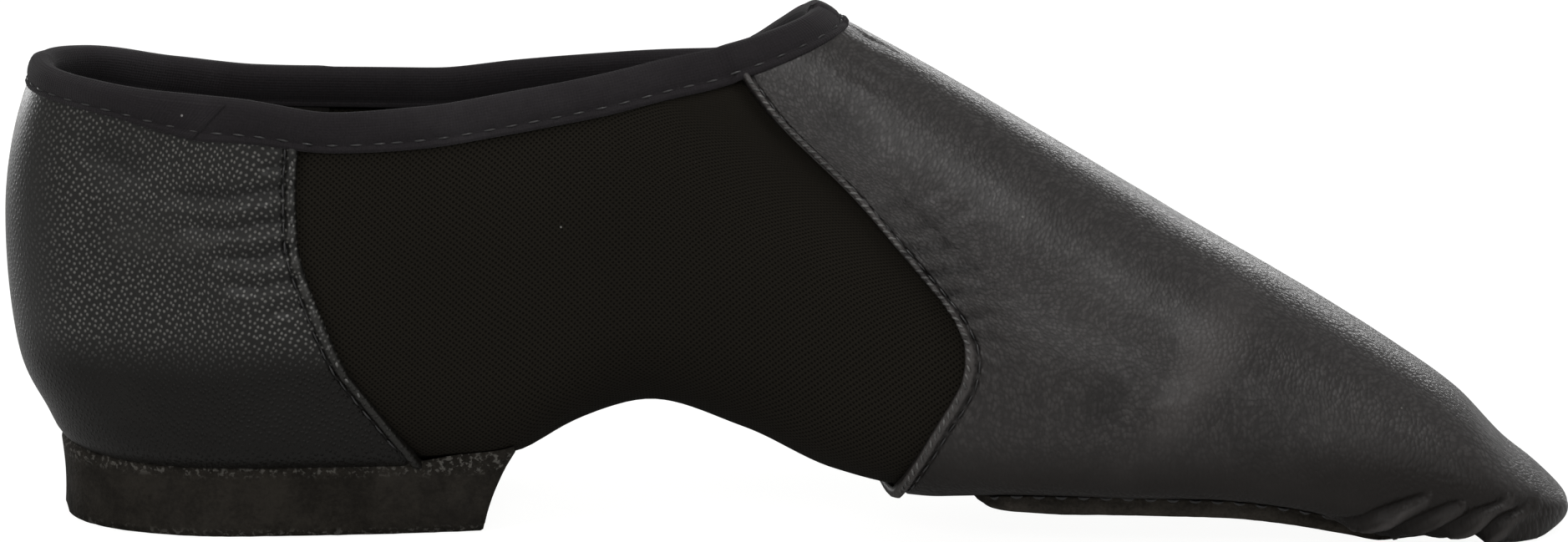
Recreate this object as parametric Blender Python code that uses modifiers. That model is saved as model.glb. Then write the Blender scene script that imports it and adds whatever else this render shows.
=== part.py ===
"""Black slip-on jazz shoe with a split sole, for the left foot, standing empty on its heel and forefoot patch.

Every piece is cut from one function, skin(), that gives the outer face of the upper. It runs from the
heel's back (run 0) to the toe tip, and from the middle underneath (height -1) over the widest line
(height 0) to the collar or the ridge of the vamp (height 1). Side -1 is the inner side of the foot (-Y).
Lengths are in metres. Tables hold shares of the named size that each column follows.
"""

import math
from bisect import bisect_right

import bmesh
import bpy
from mathutils import Vector

# Driving sizes of the finished shoe
LENGTH = 0.2412
BALL_WIDTH = 0.0840
INSTEP_HEIGHT = 0.0786
COLLAR_HEIGHT = 0.0700
HEEL_HEIGHT = 0.0108
ARCH_HEIGHT = 0.0178
BALL_LIFT = 0.0050

# Walls and clearances
WALL = 0.0010
LEATHER = 0.0010
FOLD_THICKNESS = 0.0016
FOLD_WIDTH = 0.0022
FOLD_STEP = 0.0007
BINDING_THICKNESS = 0.0012
BINDING_DROP = 0.0050
PATCH_THICKNESS = 0.0018
INSOLE_THICKNESS = 0.0020
GAP = 0.0003
BINDING_GAP = 0.0004

# Heel, toe and seat forms
HEEL_RADIUS = 0.0350
HEEL_REACH = 0.0362
BACK_BULGE_HEIGHT = 0.0460
BACK_LEAN = 0.0054
TOP_LEAN = 0.0050
BACK_POWER = 2.2
TOE_ROUND = 0.0324
TOE_POWER = 2.6
NOSE_ROUND = 0.0060
NOSE_HEIGHT = 0.0029
HEEL_BREAST = 0.0766
BREAST_SLOPE = 0.0050
HEEL_TAPER = 0.0006
BREAST_NARROWING = 0.18
PATCH_START = 0.1465
PATCH_END = 0.2235
PATCH_HEEL_ROUND = 0.0080
PATCH_TOE_ROUND = 0.0300
PATCH_TAPER = 0.0004
NORMAL_STEP = 0.0004

SHELL = GAP + LEATHER
LAST_LENGTH = LENGTH - 2 * SHELL - (HEEL_REACH - HEEL_RADIUS)
SOLE_STACK = SHELL + GAP + PATCH_THICKNESS

# Where the throat of the collar meets the ridge, as a share of the last's length
THROAT_SHARE = 0.516

# Sections along the last. at: share of the last's length. medial, lateral, centre: shares of the ball width,
# from the section's middle, which itself lies at centre. widest, crown: shares of the instep height.
# side_power, sole_power: how square the section is above and below its widest line.
# roll: how far the underside tips up towards the inner side.
SECTION_COLUMNS = ("at", "medial", "lateral", "centre", "widest", "crown", "side_power", "sole_power", "roll")
SECTIONS = (
    (0.147, 0.324, 0.329, 0.000, 0.305, 1.400, 2.00, 6.0, 0.00),
    (0.250, 0.310, 0.333, 0.000, 0.344, 1.349, 2.00, 6.0, 0.00),
    (0.310, 0.302, 0.338, 0.003, 0.385, 1.290, 2.00, 5.6, 0.02),
    (0.350, 0.298, 0.345, 0.006, 0.420, 1.234, 2.00, 3.8, 0.06),
    (0.410, 0.298, 0.369, 0.006, 0.440, 1.145, 2.00, 2.6, 0.09),
    (0.470, 0.321, 0.405, 0.006, 0.415, 1.052, 2.00, 2.8, 0.07),
    (0.530, 0.351, 0.452, 0.000, 0.365, 0.959, 2.00, 3.4, 0.03),
    (0.600, 0.381, 0.500, -0.012, 0.293, 0.841, 2.00, 4.2, 0.00),
    (0.660, 0.396, 0.530, -0.030, 0.248, 0.733, 2.00, 4.5, 0.00),
    (0.720, 0.393, 0.533, -0.048, 0.229, 0.625, 2.00, 4.5, 0.00),
    (0.780, 0.363, 0.514, -0.071, 0.210, 0.518, 2.00, 4.5, 0.00),
    (0.840, 0.315, 0.470, -0.095, 0.172, 0.414, 2.00, 4.5, 0.00),
    (0.890, 0.270, 0.408, -0.119, 0.140, 0.322, 2.00, 4.4, 0.00),
    (0.930, 0.250, 0.356, -0.137, 0.108, 0.238, 2.10, 4.2, 0.00),
    (0.965, 0.240, 0.322, -0.143, 0.072, 0.127, 2.20, 4.0, 0.00),
    (1.000, 0.235, 0.280, -0.143, 0.040, 0.055, 2.20, 3.0, 0.00),
)

# Underside of the upper along its middle: shares of the heel height, arch height, ball lift and sole stack
FLOOR_COLUMNS = ("at", "heel", "arch", "ball", "stack")
FLOOR = (
    (0.000, 1.00, 0.00, 0.00, 0.00),
    (0.280, 1.00, 0.00, 0.00, 0.00),
    (0.326, 0.58, 0.27, 0.00, 0.00),
    (0.361, 0.18, 0.71, 0.00, 0.00),
    (0.385, 0.00, 0.92, 0.00, 0.00),
    (0.410, 0.00, 0.97, 0.00, 0.00),
    (0.470, 0.00, 0.65, 0.12, 0.34),
    (0.530, 0.00, 0.18, 0.26, 1.00),
    (0.600, 0.00, 0.00, 0.68, 1.00),
    (0.660, 0.00, 0.00, 0.94, 1.00),
    (0.720, 0.00, 0.00, 0.98, 1.00),
    (0.780, 0.00, 0.00, 0.90, 1.00),
    (0.820, 0.00, 0.00, 0.68, 1.00),
    (0.858, 0.00, 0.00, 0.30, 1.00),
    (0.885, 0.00, 0.00, 0.00, 1.00),
    (0.930, 0.00, 0.00, 0.00, 1.00),
    (0.948, 0.00, 0.00, 0.00, 0.90),
    (0.968, 0.00, 0.00, 0.00, 0.48),
    (1.000, 0.00, 0.00, 0.00, 0.42),
)

# Rim of the upper at the collar: shares of the collar height on the inner and the outer side.
# Up to the heel radius the share of the length counts round the heel's back.
RIM_COLUMNS = ("at", "medial", "lateral")
RIM = (
    (0.000, 0.986, 0.986),
    (0.050, 0.988, 0.976),
    (0.100, 0.976, 0.938),
    (0.147, 0.951, 0.914),
    (0.210, 0.917, 0.910),
    (0.265, 0.931, 0.908),
    (0.320, 0.969, 0.925),
    (0.375, 1.001, 0.939),
    (0.425, 1.037, 0.948),
    (0.448, 1.050, 0.950),
    (0.472, 1.066, 0.972),
    (0.494, 1.083, 1.028),
    (0.516, 1.101, 1.101),
)

# The two seams across the side, by height on the last: shares of the last's length
SEAM_COLUMNS = ("height", "counter", "vamp")
SEAMS = (
    (-1.00, 0.290, 0.560),
    (-0.50, 0.271, 0.576),
    (-0.30, 0.256, 0.588),
    (-0.12, 0.241, 0.602),
    (0.00, 0.229, 0.613),
    (0.14, 0.216, 0.617),
    (0.26, 0.206, 0.598),
    (0.37, 0.199, 0.568),
    (0.47, 0.194, 0.537),
    (0.66, 0.191, 0.498),
    (0.86, 0.192, 0.474),
    (1.00, 0.193, 0.466),
)

# Rows of faces, underneath and up the side, and columns of faces from the throat to the toe
SOLE_ROWS = (-1.0, -0.8, -0.63, -0.5, -0.34, -0.17, 0.0)
SIDE_ROWS = (0.15, 0.30, 0.44, 0.58, 0.72, 0.86, 1.0)
PATCH_ROWS = (0.0, 0.4, 0.75, 1.0)
MARGIN_ROW = 2
FEATHER_ROW = 3
PATCH_EDGE = -0.54
FRONT_TOP_ROW = 0.90
FAN_STEPS = 6
COUNTER_STEPS = 2
WAIST_STEPS = 9
THROAT_SHARES = (0.35, 0.70, 0.90, 1.0)
LIP_SHARE = 0.85
TOE_SHARES = (0.08, 0.16, 0.24, 0.32, 0.40, 0.48, 0.56, 0.64, 0.72, 0.79, 0.86, 0.92, 0.96, 0.985, 0.997, 1.0)
OPEN_FROM_SHARE = 0.08
OPEN_TO_SHARE = 0.72
INSOLE_TO_SHARE = 0.92
BLOCK_STEPS = 6
PATCH_STEPS = 13
RIM_SAMPLES = 160

# Finishes: base colour, roughness
FINISHES = {
    "upper": ((0.011, 0.010, 0.008), 0.85),
    "vamp": ((0.035, 0.033, 0.034), 0.45),
    "heel_counter": ((0.024, 0.023, 0.021), 0.50),
    "collar_binding": ((0.022, 0.020, 0.023), 0.80),
    "forefoot_outsole": ((0.050, 0.043, 0.035), 0.90),
    "heel_block": ((0.018, 0.016, 0.013), 0.85),
    "insole": ((0.030, 0.028, 0.027), 0.90),
}


def smooth_curve(rows):
    """Return a smooth function through (at, value) rows that never overshoots between them."""
    ats = [row[0] for row in rows]
    values = [row[1] for row in rows]
    rises = [(values[k + 1] - values[k]) / (ats[k + 1] - ats[k]) for k in range(len(ats) - 1)]
    slopes = [rises[0]]
    for before, after in zip(rises, rises[1:]):
        slopes.append(0.0 if before * after <= 0 else 2 * before * after / (before + after))
    slopes.append(rises[-1])

    def value(at):
        k = min(max(bisect_right(ats, at) - 1, 0), len(ats) - 2)
        span = ats[k + 1] - ats[k]
        t = min(max((at - ats[k]) / span, 0.0), 1.0)
        start = values[k] + slopes[k] * span * t
        end = values[k + 1] - slopes[k + 1] * span * (1 - t)
        ease = t * t * (3 - 2 * t)
        chord = values[k] * (1 - ease) + values[k + 1] * ease
        bend = t * (1 - t) * ((start - values[k]) / max(t, 1e-9) * (1 - t) - (values[k + 1] - end) / max(1 - t, 1e-9) * t)
        return chord + bend

    return value


def columns_of(names, rows):
    """Return one smooth function for each named column of a table, over its first column."""
    return {name: smooth_curve([(row[0], row[k]) for row in rows]) for k, name in enumerate(names) if k}


SECTION = columns_of(SECTION_COLUMNS, SECTIONS)
UNDERSIDE = columns_of(FLOOR_COLUMNS, FLOOR)
COLLAR = columns_of(RIM_COLUMNS, RIM)
SEAM = columns_of(SEAM_COLUMNS, SEAMS)
THROAT = THROAT_SHARE * LAST_LENGTH


def quarter(angle, power):
    """Point of a quarter superellipse at an angle: how far across and how far along its height."""
    across = math.cos(angle)
    along = math.sin(angle)
    radius = (abs(across) ** power + abs(along) ** power) ** (1 / power)
    return across / radius, along / radius


def floor_height(share):
    """Height of the upper's underside along its middle."""
    lifts = {"heel": HEEL_HEIGHT, "arch": ARCH_HEIGHT, "ball": BALL_LIFT, "stack": SOLE_STACK}
    return sum(UNDERSIDE[name](share) * lift for name, lift in lifts.items())


def rim_angle(run, side, widest, crown, power):
    """Angle at which the section stops: at the collar, or at the ridge in front of the throat."""
    if run >= THROAT:
        return math.pi / 2
    rim = COLLAR_HEIGHT * COLLAR["medial" if side < 0 else "lateral"](run / LAST_LENGTH)
    up = min((rim - widest) / (crown - widest), 0.9999)
    return math.atan2(up, (1 - up ** power) ** (1 / power))


def round_end(past, length, power):
    """Share of the width that is left where an end closes, from 1 down to 0 over a length."""
    if past <= 0:
        return 1.0
    return max(1 - min(past / length, 1.0) ** power, 0.0) ** (1 / power)


def skin(run, height, side):
    """Point on the outer face of the upper."""
    share = min(max(run, HEEL_RADIUS), LAST_LENGTH) / LAST_LENGTH
    half = BALL_WIDTH * SECTION["medial" if side < 0 else "lateral"](share)
    centre = BALL_WIDTH * SECTION["centre"](share)
    widest = INSTEP_HEIGHT * SECTION["widest"](share)
    if height < 0:
        across, down = quarter(-height * math.pi / 2, SECTION["sole_power"](share))
        y = half * across
        z = widest - (widest - floor_height(share)) * down - side * SECTION["roll"](share) * y * down
        seat = across
    else:
        crown = INSTEP_HEIGHT * SECTION["crown"](share)
        power = SECTION["side_power"](share)
        across, up = quarter(height * rim_angle(run, side, widest, crown, power), power)
        y = half * across
        z = widest + (crown - widest) * up
        seat = 1.0
    if run < HEEL_RADIUS:
        turn = run / HEEL_RADIUS * math.pi / 2
        if z > BACK_BULGE_HEIGHT:
            lean = TOP_LEAN * ((z - BACK_BULGE_HEIGHT) / (COLLAR_HEIGHT - BACK_BULGE_HEIGHT)) ** 2
        else:
            lean = BACK_LEAN * ((BACK_BULGE_HEIGHT - z) / (BACK_BULGE_HEIGHT - HEEL_HEIGHT)) ** 2
        back = (HEEL_REACH - lean) * seat
        if y < 1e-7 or back < 1e-7:
            return Vector((HEEL_RADIUS, centre, z))
        reach = ((math.cos(turn) / back) ** BACK_POWER + (math.sin(turn) / y) ** BACK_POWER) ** (-1 / BACK_POWER)
        return Vector((HEEL_RADIUS - reach * math.cos(turn), centre + side * reach * math.sin(turn), z))
    run = min(run, LAST_LENGTH)
    y *= round_end(run - (LAST_LENGTH - TOE_ROUND), TOE_ROUND, TOE_POWER)
    nose = round_end(run - (LAST_LENGTH - NOSE_ROUND), NOSE_ROUND, 2.0)
    return Vector((run, centre + side * y, NOSE_HEIGHT + (z - NOSE_HEIGHT) * nose))


def walk(run, height, side):
    """Point of the skin where a step may cross the ridge, the middle underneath or the heel's back."""
    if height > 1:
        height, side = 2 - height, -side
    if height < -1:
        height, side = -2 - height, -side
    if run < 0:
        run, side = -run, -side
    return skin(run, height, side)


def outward(run, height, side):
    """Unit normal of the skin. Points that both sides share get the same normal from either side."""
    if run >= LAST_LENGTH - 1e-7:
        return Vector((1, 0, 0))
    if height <= -1 and run <= HEEL_RADIUS:
        return Vector((0, 0, -1))
    turn = NORMAL_STEP * 20
    on_ridge = run >= THROAT - 1e-7
    higher = height + turn if height + turn <= 1 or on_ridge else height
    behind = run if on_ridge and run < THROAT + NORMAL_STEP and height > 0.99 else run - NORMAL_STEP
    along = walk(min(run + NORMAL_STEP, LAST_LENGTH), height, side) - walk(behind, height, side)
    up = walk(run, higher, side) - walk(run, height - turn, side)
    normal = along.cross(up)
    if side < 0:
        normal.negate()
    return -normal.normalized()


def lifted(run, height, side, lift):
    """Point at a distance outside the skin, or inside it where the lift is negative."""
    return skin(run, height, side) + outward(run, height, side) * lift


RIM_LINE = [
    skin(THROAT * (1 - (k / RIM_SAMPLES) ** 2), 1.0, side) for side in (-1, 1) for k in range(RIM_SAMPLES + 1)
]


def counter_seam(height):
    """Run of the seam of the heel counter at a height."""
    return LAST_LENGTH * SEAM["counter"](height)


def vamp_seam(height):
    """Run of the seam of the vamp at a height."""
    return LAST_LENGTH * SEAM["vamp"](height)


def throat_line(height):
    """Run of the column of faces that ends at the throat."""
    return THROAT + vamp_seam(height) - vamp_seam(1.0)


def lip_line(height):
    """Run of the column of faces in front of the binding."""
    return throat_line(height) + (BINDING_DROP + GAP) * LIP_SHARE


def toe_line(height):
    """Run of the toe tip, the same at every height."""
    return LAST_LENGTH


def heel_line(height):
    """Run where the fan round the heel ends."""
    return HEEL_RADIUS


def at_run(run):
    """A column of faces across the shoe at one run."""
    return lambda height: run


def between(start, end, share):
    """A column of faces part way from one column to another."""
    return lambda height: start(height) * (1 - share) + end(height) * share


def beside(line, distance):
    """A column of faces at a distance from another."""
    return lambda height: line(height) + distance


FAN = [at_run(HEEL_RADIUS * k / FAN_STEPS) for k in range(FAN_STEPS)]
COUNTER_SIDE = [between(heel_line, counter_seam, k / COUNTER_STEPS) for k in range(COUNTER_STEPS)]
WAIST = [between(counter_seam, vamp_seam, k / WAIST_STEPS) for k in range(WAIST_STEPS)]
THROAT_SIDE = [between(vamp_seam, throat_line, share) for share in THROAT_SHARES]
THROAT_SIDE_WITH_SEAM = [vamp_seam] + THROAT_SIDE
TOE = [between(lip_line, toe_line, share) for share in TOE_SHARES]


def band_height(column, side, drop):
    """Height on a column that lies a distance away from the rim of the collar."""
    low, high = 0.0, 1.0
    for _ in range(24):
        middle = (low + high) / 2
        point = skin(column(middle), middle, side)
        if min((point - rim).length_squared for rim in RIM_LINE) > drop * drop:
            low = middle
        else:
            high = middle
    return (low + high) / 2


def row_heights(columns, lip, drop):
    """Heights of the rows on each column and side. Up to the lip column one row follows the binding."""
    heights = {}
    for side in (-1, 1):
        for k, column in enumerate(columns):
            band = band_height(column, side, drop) if k <= lip else FRONT_TOP_ROW
            rows = list(SOLE_ROWS) + [share * band for share in SIDE_ROWS]
            heights[side, k] = rows + [(band + 1) / 2, 1.0]
    return heights


def add_quads(mesh, place, cells, folded=()):
    """Add the quads of both sides to a mesh, facing outwards, and close the seams between them."""
    weights = mesh.verts.layers.deform.verify()
    for side in (-1, 1):
        for i, j in cells:
            ring = [(i, j), (i + 1, j), (i + 1, j + 1), (i, j + 1)]
            if side > 0:
                ring.reverse()
            corners = []
            for column, row in ring:
                corner = mesh.verts.new(place(column, row, side))
                if column in folded:
                    corner[weights][0] = 1.0
                corners.append(corner)
            mesh.faces.new(corners)
    bmesh.ops.remove_doubles(mesh, verts=mesh.verts, dist=1e-6)
    bmesh.ops.dissolve_degenerate(mesh, edges=mesh.edges, dist=1e-6)


def finish_mesh(mesh, name, collection):
    """Turn a bmesh into a named object with its finish, shaded smooth."""
    data = bpy.data.meshes.new(name)
    mesh.to_mesh(data)
    mesh.free()
    piece = bpy.data.objects.new(name, data)
    collection.objects.link(piece)
    colour, roughness = FINISHES[name]
    material = bpy.data.materials.new(name)
    material.use_nodes = True
    shader = material.node_tree.nodes["Principled BSDF"]
    shader.inputs["Base Color"].default_value = (*colour, 1.0)
    shader.inputs["Roughness"].default_value = roughness
    shader.inputs["Metallic"].default_value = 0.0
    data.materials.append(material)
    data.shade_smooth()
    return piece


def give_wall(piece, thickness, outside):
    """Give an open sheet its wall, on its outer or its inner side."""
    wall = piece.modifiers.new("wall", "SOLIDIFY")
    wall.thickness = thickness
    wall.offset = 1.0 if outside else -1.0
    wall.use_quality_normals = True
    return wall


def sheet_mesh(columns, heights, lift, cells, folded=()):
    """A sheet of quads over the skin at one lift."""
    mesh = bmesh.new()

    def place(i, j, side):
        height = heights[side, i][j]
        return lifted(columns[i](height), height, side, lift)

    add_quads(mesh, place, cells, folded)
    return mesh


def build_upper(collection):
    """The hollow mesh and lining shell, open at the collar and under the heel and the forefoot."""
    columns = FAN + COUNTER_SIDE + WAIST + THROAT_SIDE_WITH_SEAM + [lip_line] + TOE
    lip = columns.index(lip_line)
    heights = row_heights(columns, lip, BINDING_DROP + GAP)
    heel_open = len(FAN) + len(COUNTER_SIDE)
    fore_open = (lip + 1 + TOE_SHARES.index(OPEN_FROM_SHARE), lip + 1 + TOE_SHARES.index(OPEN_TO_SHARE))
    cells = []
    for i in range(len(columns) - 1):
        for j in range(len(heights[1, 0]) - 1):
            under = j < MARGIN_ROW
            if under and (i < heel_open or fore_open[0] <= i < fore_open[1]):
                continue
            cells.append((i, j))
    piece = finish_mesh(sheet_mesh(columns, heights, 0.0, cells), "upper", collection)
    give_wall(piece, WALL, outside=False)
    return piece


def raise_fold(piece):
    """Give a leather piece its wall, thicker along the folded edge that its first vertex group holds."""
    fold = piece.vertex_groups.new(name="fold")
    wall = give_wall(piece, FOLD_THICKNESS, outside=True)
    wall.vertex_group = fold.name
    wall.thickness_vertex_group = LEATHER / FOLD_THICKNESS


def build_vamp(collection):
    """The leather over the forefoot and toe, with a folded edge along its seam."""
    folds = [vamp_seam, beside(vamp_seam, FOLD_WIDTH), beside(vamp_seam, FOLD_WIDTH + FOLD_STEP)]
    columns = folds + THROAT_SIDE + [lip_line] + TOE
    lip = columns.index(lip_line)
    heights = row_heights(columns, lip, BINDING_DROP + GAP)
    band_row = len(SOLE_ROWS) + len(SIDE_ROWS) - 1
    fore_open = (lip + 1 + TOE_SHARES.index(OPEN_FROM_SHARE), lip + 1 + TOE_SHARES.index(OPEN_TO_SHARE))
    cells = []
    for i in range(len(columns) - 1):
        for j in range(len(heights[1, 0]) - 1):
            if j < MARGIN_ROW and fore_open[0] <= i < fore_open[1]:
                continue
            if j >= band_row and i < lip:
                continue
            cells.append((i, j))
    piece = finish_mesh(sheet_mesh(columns, heights, GAP, cells, folded=(0, 1)), "vamp", collection)
    raise_fold(piece)
    return piece


def build_heel_counter(collection):
    """The embossed leather round the heel, with a folded edge along its seam."""
    folds = [beside(counter_seam, -FOLD_WIDTH - FOLD_STEP), beside(counter_seam, -FOLD_WIDTH), counter_seam]
    columns = FAN + COUNTER_SIDE + folds
    heights = row_heights(columns, len(columns), BINDING_DROP + GAP)
    band_row = len(SOLE_ROWS) + len(SIDE_ROWS) - 1
    cells = [(i, j) for i in range(len(columns) - 1) for j in range(FEATHER_ROW, band_row)]
    folded = (len(columns) - 2, len(columns) - 1)
    piece = finish_mesh(sheet_mesh(columns, heights, GAP, cells, folded), "heel_counter", collection)
    raise_fold(piece)
    return piece


def build_collar_binding(collection):
    """The stretch binding, folded over the rim of the upper and sewn down on both faces."""
    lip = beside(throat_line, BINDING_DROP * LIP_SHARE)
    columns = FAN + COUNTER_SIDE + WAIST + THROAT_SIDE_WITH_SEAM + [lip]
    last = len(columns) - 1
    throat = last - 1
    heights = row_heights(columns, last, BINDING_DROP)
    band_row = len(SOLE_ROWS) + len(SIDE_ROWS) - 1
    top_row = band_row + 2

    def rim_frame(i, side):
        run = columns[i](1.0)
        point = skin(run, 1.0, side)
        normal = outward(run, 1.0, side)
        if i == throat:
            tangent = Vector((0, 1, 0))
        elif i == 0:
            tangent = Vector((0, -1, 0))
        else:
            ahead = skin(min(columns[i + 1](1.0), THROAT), 1.0, side)
            tangent = (ahead - skin(columns[i - 1](1.0), 1.0, side)).normalized() * side * -1
        away = normal.cross(tangent).normalized()
        inner_point = skin(run, heights[side, i][band_row], side)
        if away.dot(point - inner_point) < 0:
            away.negate()
        return point, normal, away

    def place(i, j, side):
        """Rows count from the lower edge outside, over the rim, to the lower edge inside."""
        if j <= 2:
            height = heights[side, i][band_row + j]
            return lifted(columns[i](height), height, side, BINDING_GAP)
        if j >= 5:
            height = heights[side, i][top_row - (j - 5)]
            return lifted(columns[i](height), height, side, -WALL - BINDING_GAP)
        point, normal, away = rim_frame(i, side)
        return point + away * BINDING_GAP + normal * (BINDING_GAP if j == 3 else -WALL - BINDING_GAP)

    mesh = bmesh.new()
    cells = [(i, j) for i in range(last) for j in range(7) if i < throat or j in (0, 1, 5, 6)]
    add_quads(mesh, place, cells)
    piece = finish_mesh(mesh, "collar_binding", collection)
    give_wall(piece, BINDING_THICKNESS, outside=True)
    return piece


def build_insole(collection):
    """The sock that lies on the margins and the arch inside the upper."""
    columns = FAN + COUNTER_SIDE + WAIST + THROAT_SIDE_WITH_SEAM + [lip_line] + TOE
    last = len(columns) - len(TOE) + TOE_SHARES.index(INSOLE_TO_SHARE)
    heights = {(side, i): SOLE_ROWS for side in (-1, 1) for i in range(len(columns))}
    cells = [(i, j) for i in range(last) for j in range(FEATHER_ROW)]
    piece = finish_mesh(sheet_mesh(columns, heights, -WALL - GAP, cells), "insole", collection)
    give_wall(piece, INSOLE_THICKNESS, outside=False)
    return piece


def build_heel_block(collection):
    """The low heel: its top follows the seat of the upper, its base is flat."""
    lengths = [k / BLOCK_STEPS for k in range(BLOCK_STEPS + 1)]
    columns = FAN + [at_run(HEEL_RADIUS + (HEEL_BREAST - HEEL_RADIUS) * share) for share in lengths]
    rows = list(SOLE_ROWS[:FEATHER_ROW + 1])
    arc = (SOLE_ROWS[FEATHER_ROW] - SOLE_ROWS[FEATHER_ROW - 1])
    feather = skin(HEEL_RADIUS, rows[-1], 1)
    span = (feather - skin(HEEL_RADIUS, rows[-2], 1)).length
    rows[-1] -= arc * GAP / span

    def place(i, j, side):
        height = rows[min(j, FEATHER_ROW)]
        lift = SHELL if j > FEATHER_ROW else GAP
        return lifted(columns[i](height), height, side, lift)

    mesh = bmesh.new()
    add_quads(mesh, place, [(i, j) for i in range(len(columns) - 1) for j in range(FEATHER_ROW + 1)])
    top = list(mesh.faces)
    result = bmesh.ops.extrude_face_region(mesh, geom=top, use_keep_orig=True)
    base = [element for element in result["geom"] if isinstance(element, bmesh.types.BMVert)]
    reach = BALL_WIDTH * SECTION["lateral"](HEEL_RADIUS / LAST_LENGTH)
    for vertex in base:
        x, y, _ = vertex.co
        past = max(x - HEEL_RADIUS, 0.0) / (HEEL_BREAST - HEEL_RADIUS)
        vertex.co = Vector((x - BREAST_SLOPE * past + HEEL_TAPER * max(1 - x / HEEL_RADIUS, 0.0),
                            y * (1 - HEEL_TAPER / reach - BREAST_NARROWING * past ** 2), 0.0))
    bmesh.ops.recalc_face_normals(mesh, faces=mesh.faces)
    return finish_mesh(mesh, "heel_block", collection)


def build_forefoot_outsole(collection):
    """The suede patch: its top follows the lasted leather, its tread is flat across and rests at the toe."""
    middle_run = (PATCH_START + PATCH_END) / 2

    def edge(run):
        share = round_end(run - (PATCH_END - PATCH_TOE_ROUND), PATCH_TOE_ROUND, 2.2)
        share = min(share, round_end(PATCH_START + PATCH_HEEL_ROUND - run, PATCH_HEEL_ROUND, 2.6))
        return -1 + (PATCH_EDGE + 1) * share

    runs = [middle_run - (middle_run - PATCH_START) * math.sin(math.pi / 2 * (1 - k / PATCH_STEPS))
            for k in range(PATCH_STEPS)]
    runs += [middle_run + (PATCH_END - middle_run) * math.sin(math.pi / 2 * k / PATCH_STEPS)
             for k in range(PATCH_STEPS + 1)]

    def place(i, j, side):
        height = -1 + (edge(runs[i]) + 1) * PATCH_ROWS[j]
        return lifted(runs[i], height, side, SHELL + GAP)

    mesh = bmesh.new()
    add_quads(mesh, place, [(i, j) for i in range(len(runs) - 1) for j in range(len(PATCH_ROWS) - 1)])
    result = bmesh.ops.extrude_face_region(mesh, geom=list(mesh.faces), use_keep_orig=True)
    for element in result["geom"]:
        if isinstance(element, bmesh.types.BMVert):
            x, y, _ = element.co
            element.co = Vector((x, y, max(floor_height(x / LAST_LENGTH) - SOLE_STACK, 0.0)))
    bmesh.ops.recalc_face_normals(mesh, faces=mesh.faces)
    return finish_mesh(mesh, "forefoot_outsole", collection)


def stand_on_origin(pieces, collection):
    """Parent the pieces to an empty that puts the middle of their box's base at the origin."""
    frame = bpy.data.objects.new("jazz_shoe_frame", None)
    collection.objects.link(frame)
    graph = bpy.context.evaluated_depsgraph_get()
    corners = []
    for piece in pieces:
        evaluated = piece.evaluated_get(graph)
        corners += [vertex.co.copy() for vertex in evaluated.to_mesh().vertices]
        evaluated.to_mesh_clear()
    low = [min(corner[axis] for corner in corners) for axis in range(3)]
    high = [max(corner[axis] for corner in corners) for axis in range(3)]
    frame.location = (-(low[0] + high[0]) / 2, -(low[1] + high[1]) / 2, -low[2])
    for piece in pieces:
        piece.parent = frame


def main():
    """Build the shoe in an emptied scene."""
    for leftover in list(bpy.data.objects):
        bpy.data.objects.remove(leftover, do_unlink=True)
    collection = bpy.data.collections.new("jazz_shoe")
    bpy.context.scene.collection.children.link(collection)
    pieces = [
        build_upper(collection),
        build_vamp(collection),
        build_heel_counter(collection),
        build_collar_binding(collection),
        build_forefoot_outsole(collection),
        build_heel_block(collection),
        build_insole(collection),
    ]
    bpy.context.view_layer.update()
    stand_on_origin(pieces, collection)
    bpy.context.view_layer.update()


main()
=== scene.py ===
"""Looks of a black slip-on jazz shoe for the left foot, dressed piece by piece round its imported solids.

Every soft piece is a fine sheet over skin(), the outer face of the upper, and then moves along its own
normals to its layer, with folded edges, creases and pleats. Lengths are in metres, +X is the toe.
"""

import math
import random
from bisect import bisect_right

import bmesh
import bpy
from mathutils import Matrix, Vector, noise


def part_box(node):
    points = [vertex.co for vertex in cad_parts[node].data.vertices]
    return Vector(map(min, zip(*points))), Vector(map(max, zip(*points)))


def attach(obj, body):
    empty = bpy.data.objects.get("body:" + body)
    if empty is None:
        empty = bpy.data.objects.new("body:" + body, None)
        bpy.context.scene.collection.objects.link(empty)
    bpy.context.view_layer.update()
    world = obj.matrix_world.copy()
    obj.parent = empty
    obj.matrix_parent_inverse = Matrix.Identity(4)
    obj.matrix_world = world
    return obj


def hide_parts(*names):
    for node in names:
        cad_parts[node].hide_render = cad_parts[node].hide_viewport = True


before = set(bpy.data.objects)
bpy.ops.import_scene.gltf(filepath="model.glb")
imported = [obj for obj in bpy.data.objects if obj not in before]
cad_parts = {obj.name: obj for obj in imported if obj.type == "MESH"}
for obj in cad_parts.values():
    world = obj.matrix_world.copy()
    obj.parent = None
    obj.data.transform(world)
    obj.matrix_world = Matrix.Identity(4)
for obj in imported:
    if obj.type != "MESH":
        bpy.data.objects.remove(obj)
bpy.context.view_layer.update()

bl_info = {
    "name": "Jazz Shoe",
    "version": (1, 0, 0),
    "blender": (4, 5, 0),
    "location": "View3D > Sidebar > Jazz Shoe",
    "description": "Builds the leather, mesh, binding, soles and stitching of a slip-on jazz shoe",
    "category": "Object",
}

MM = 0.001

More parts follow.
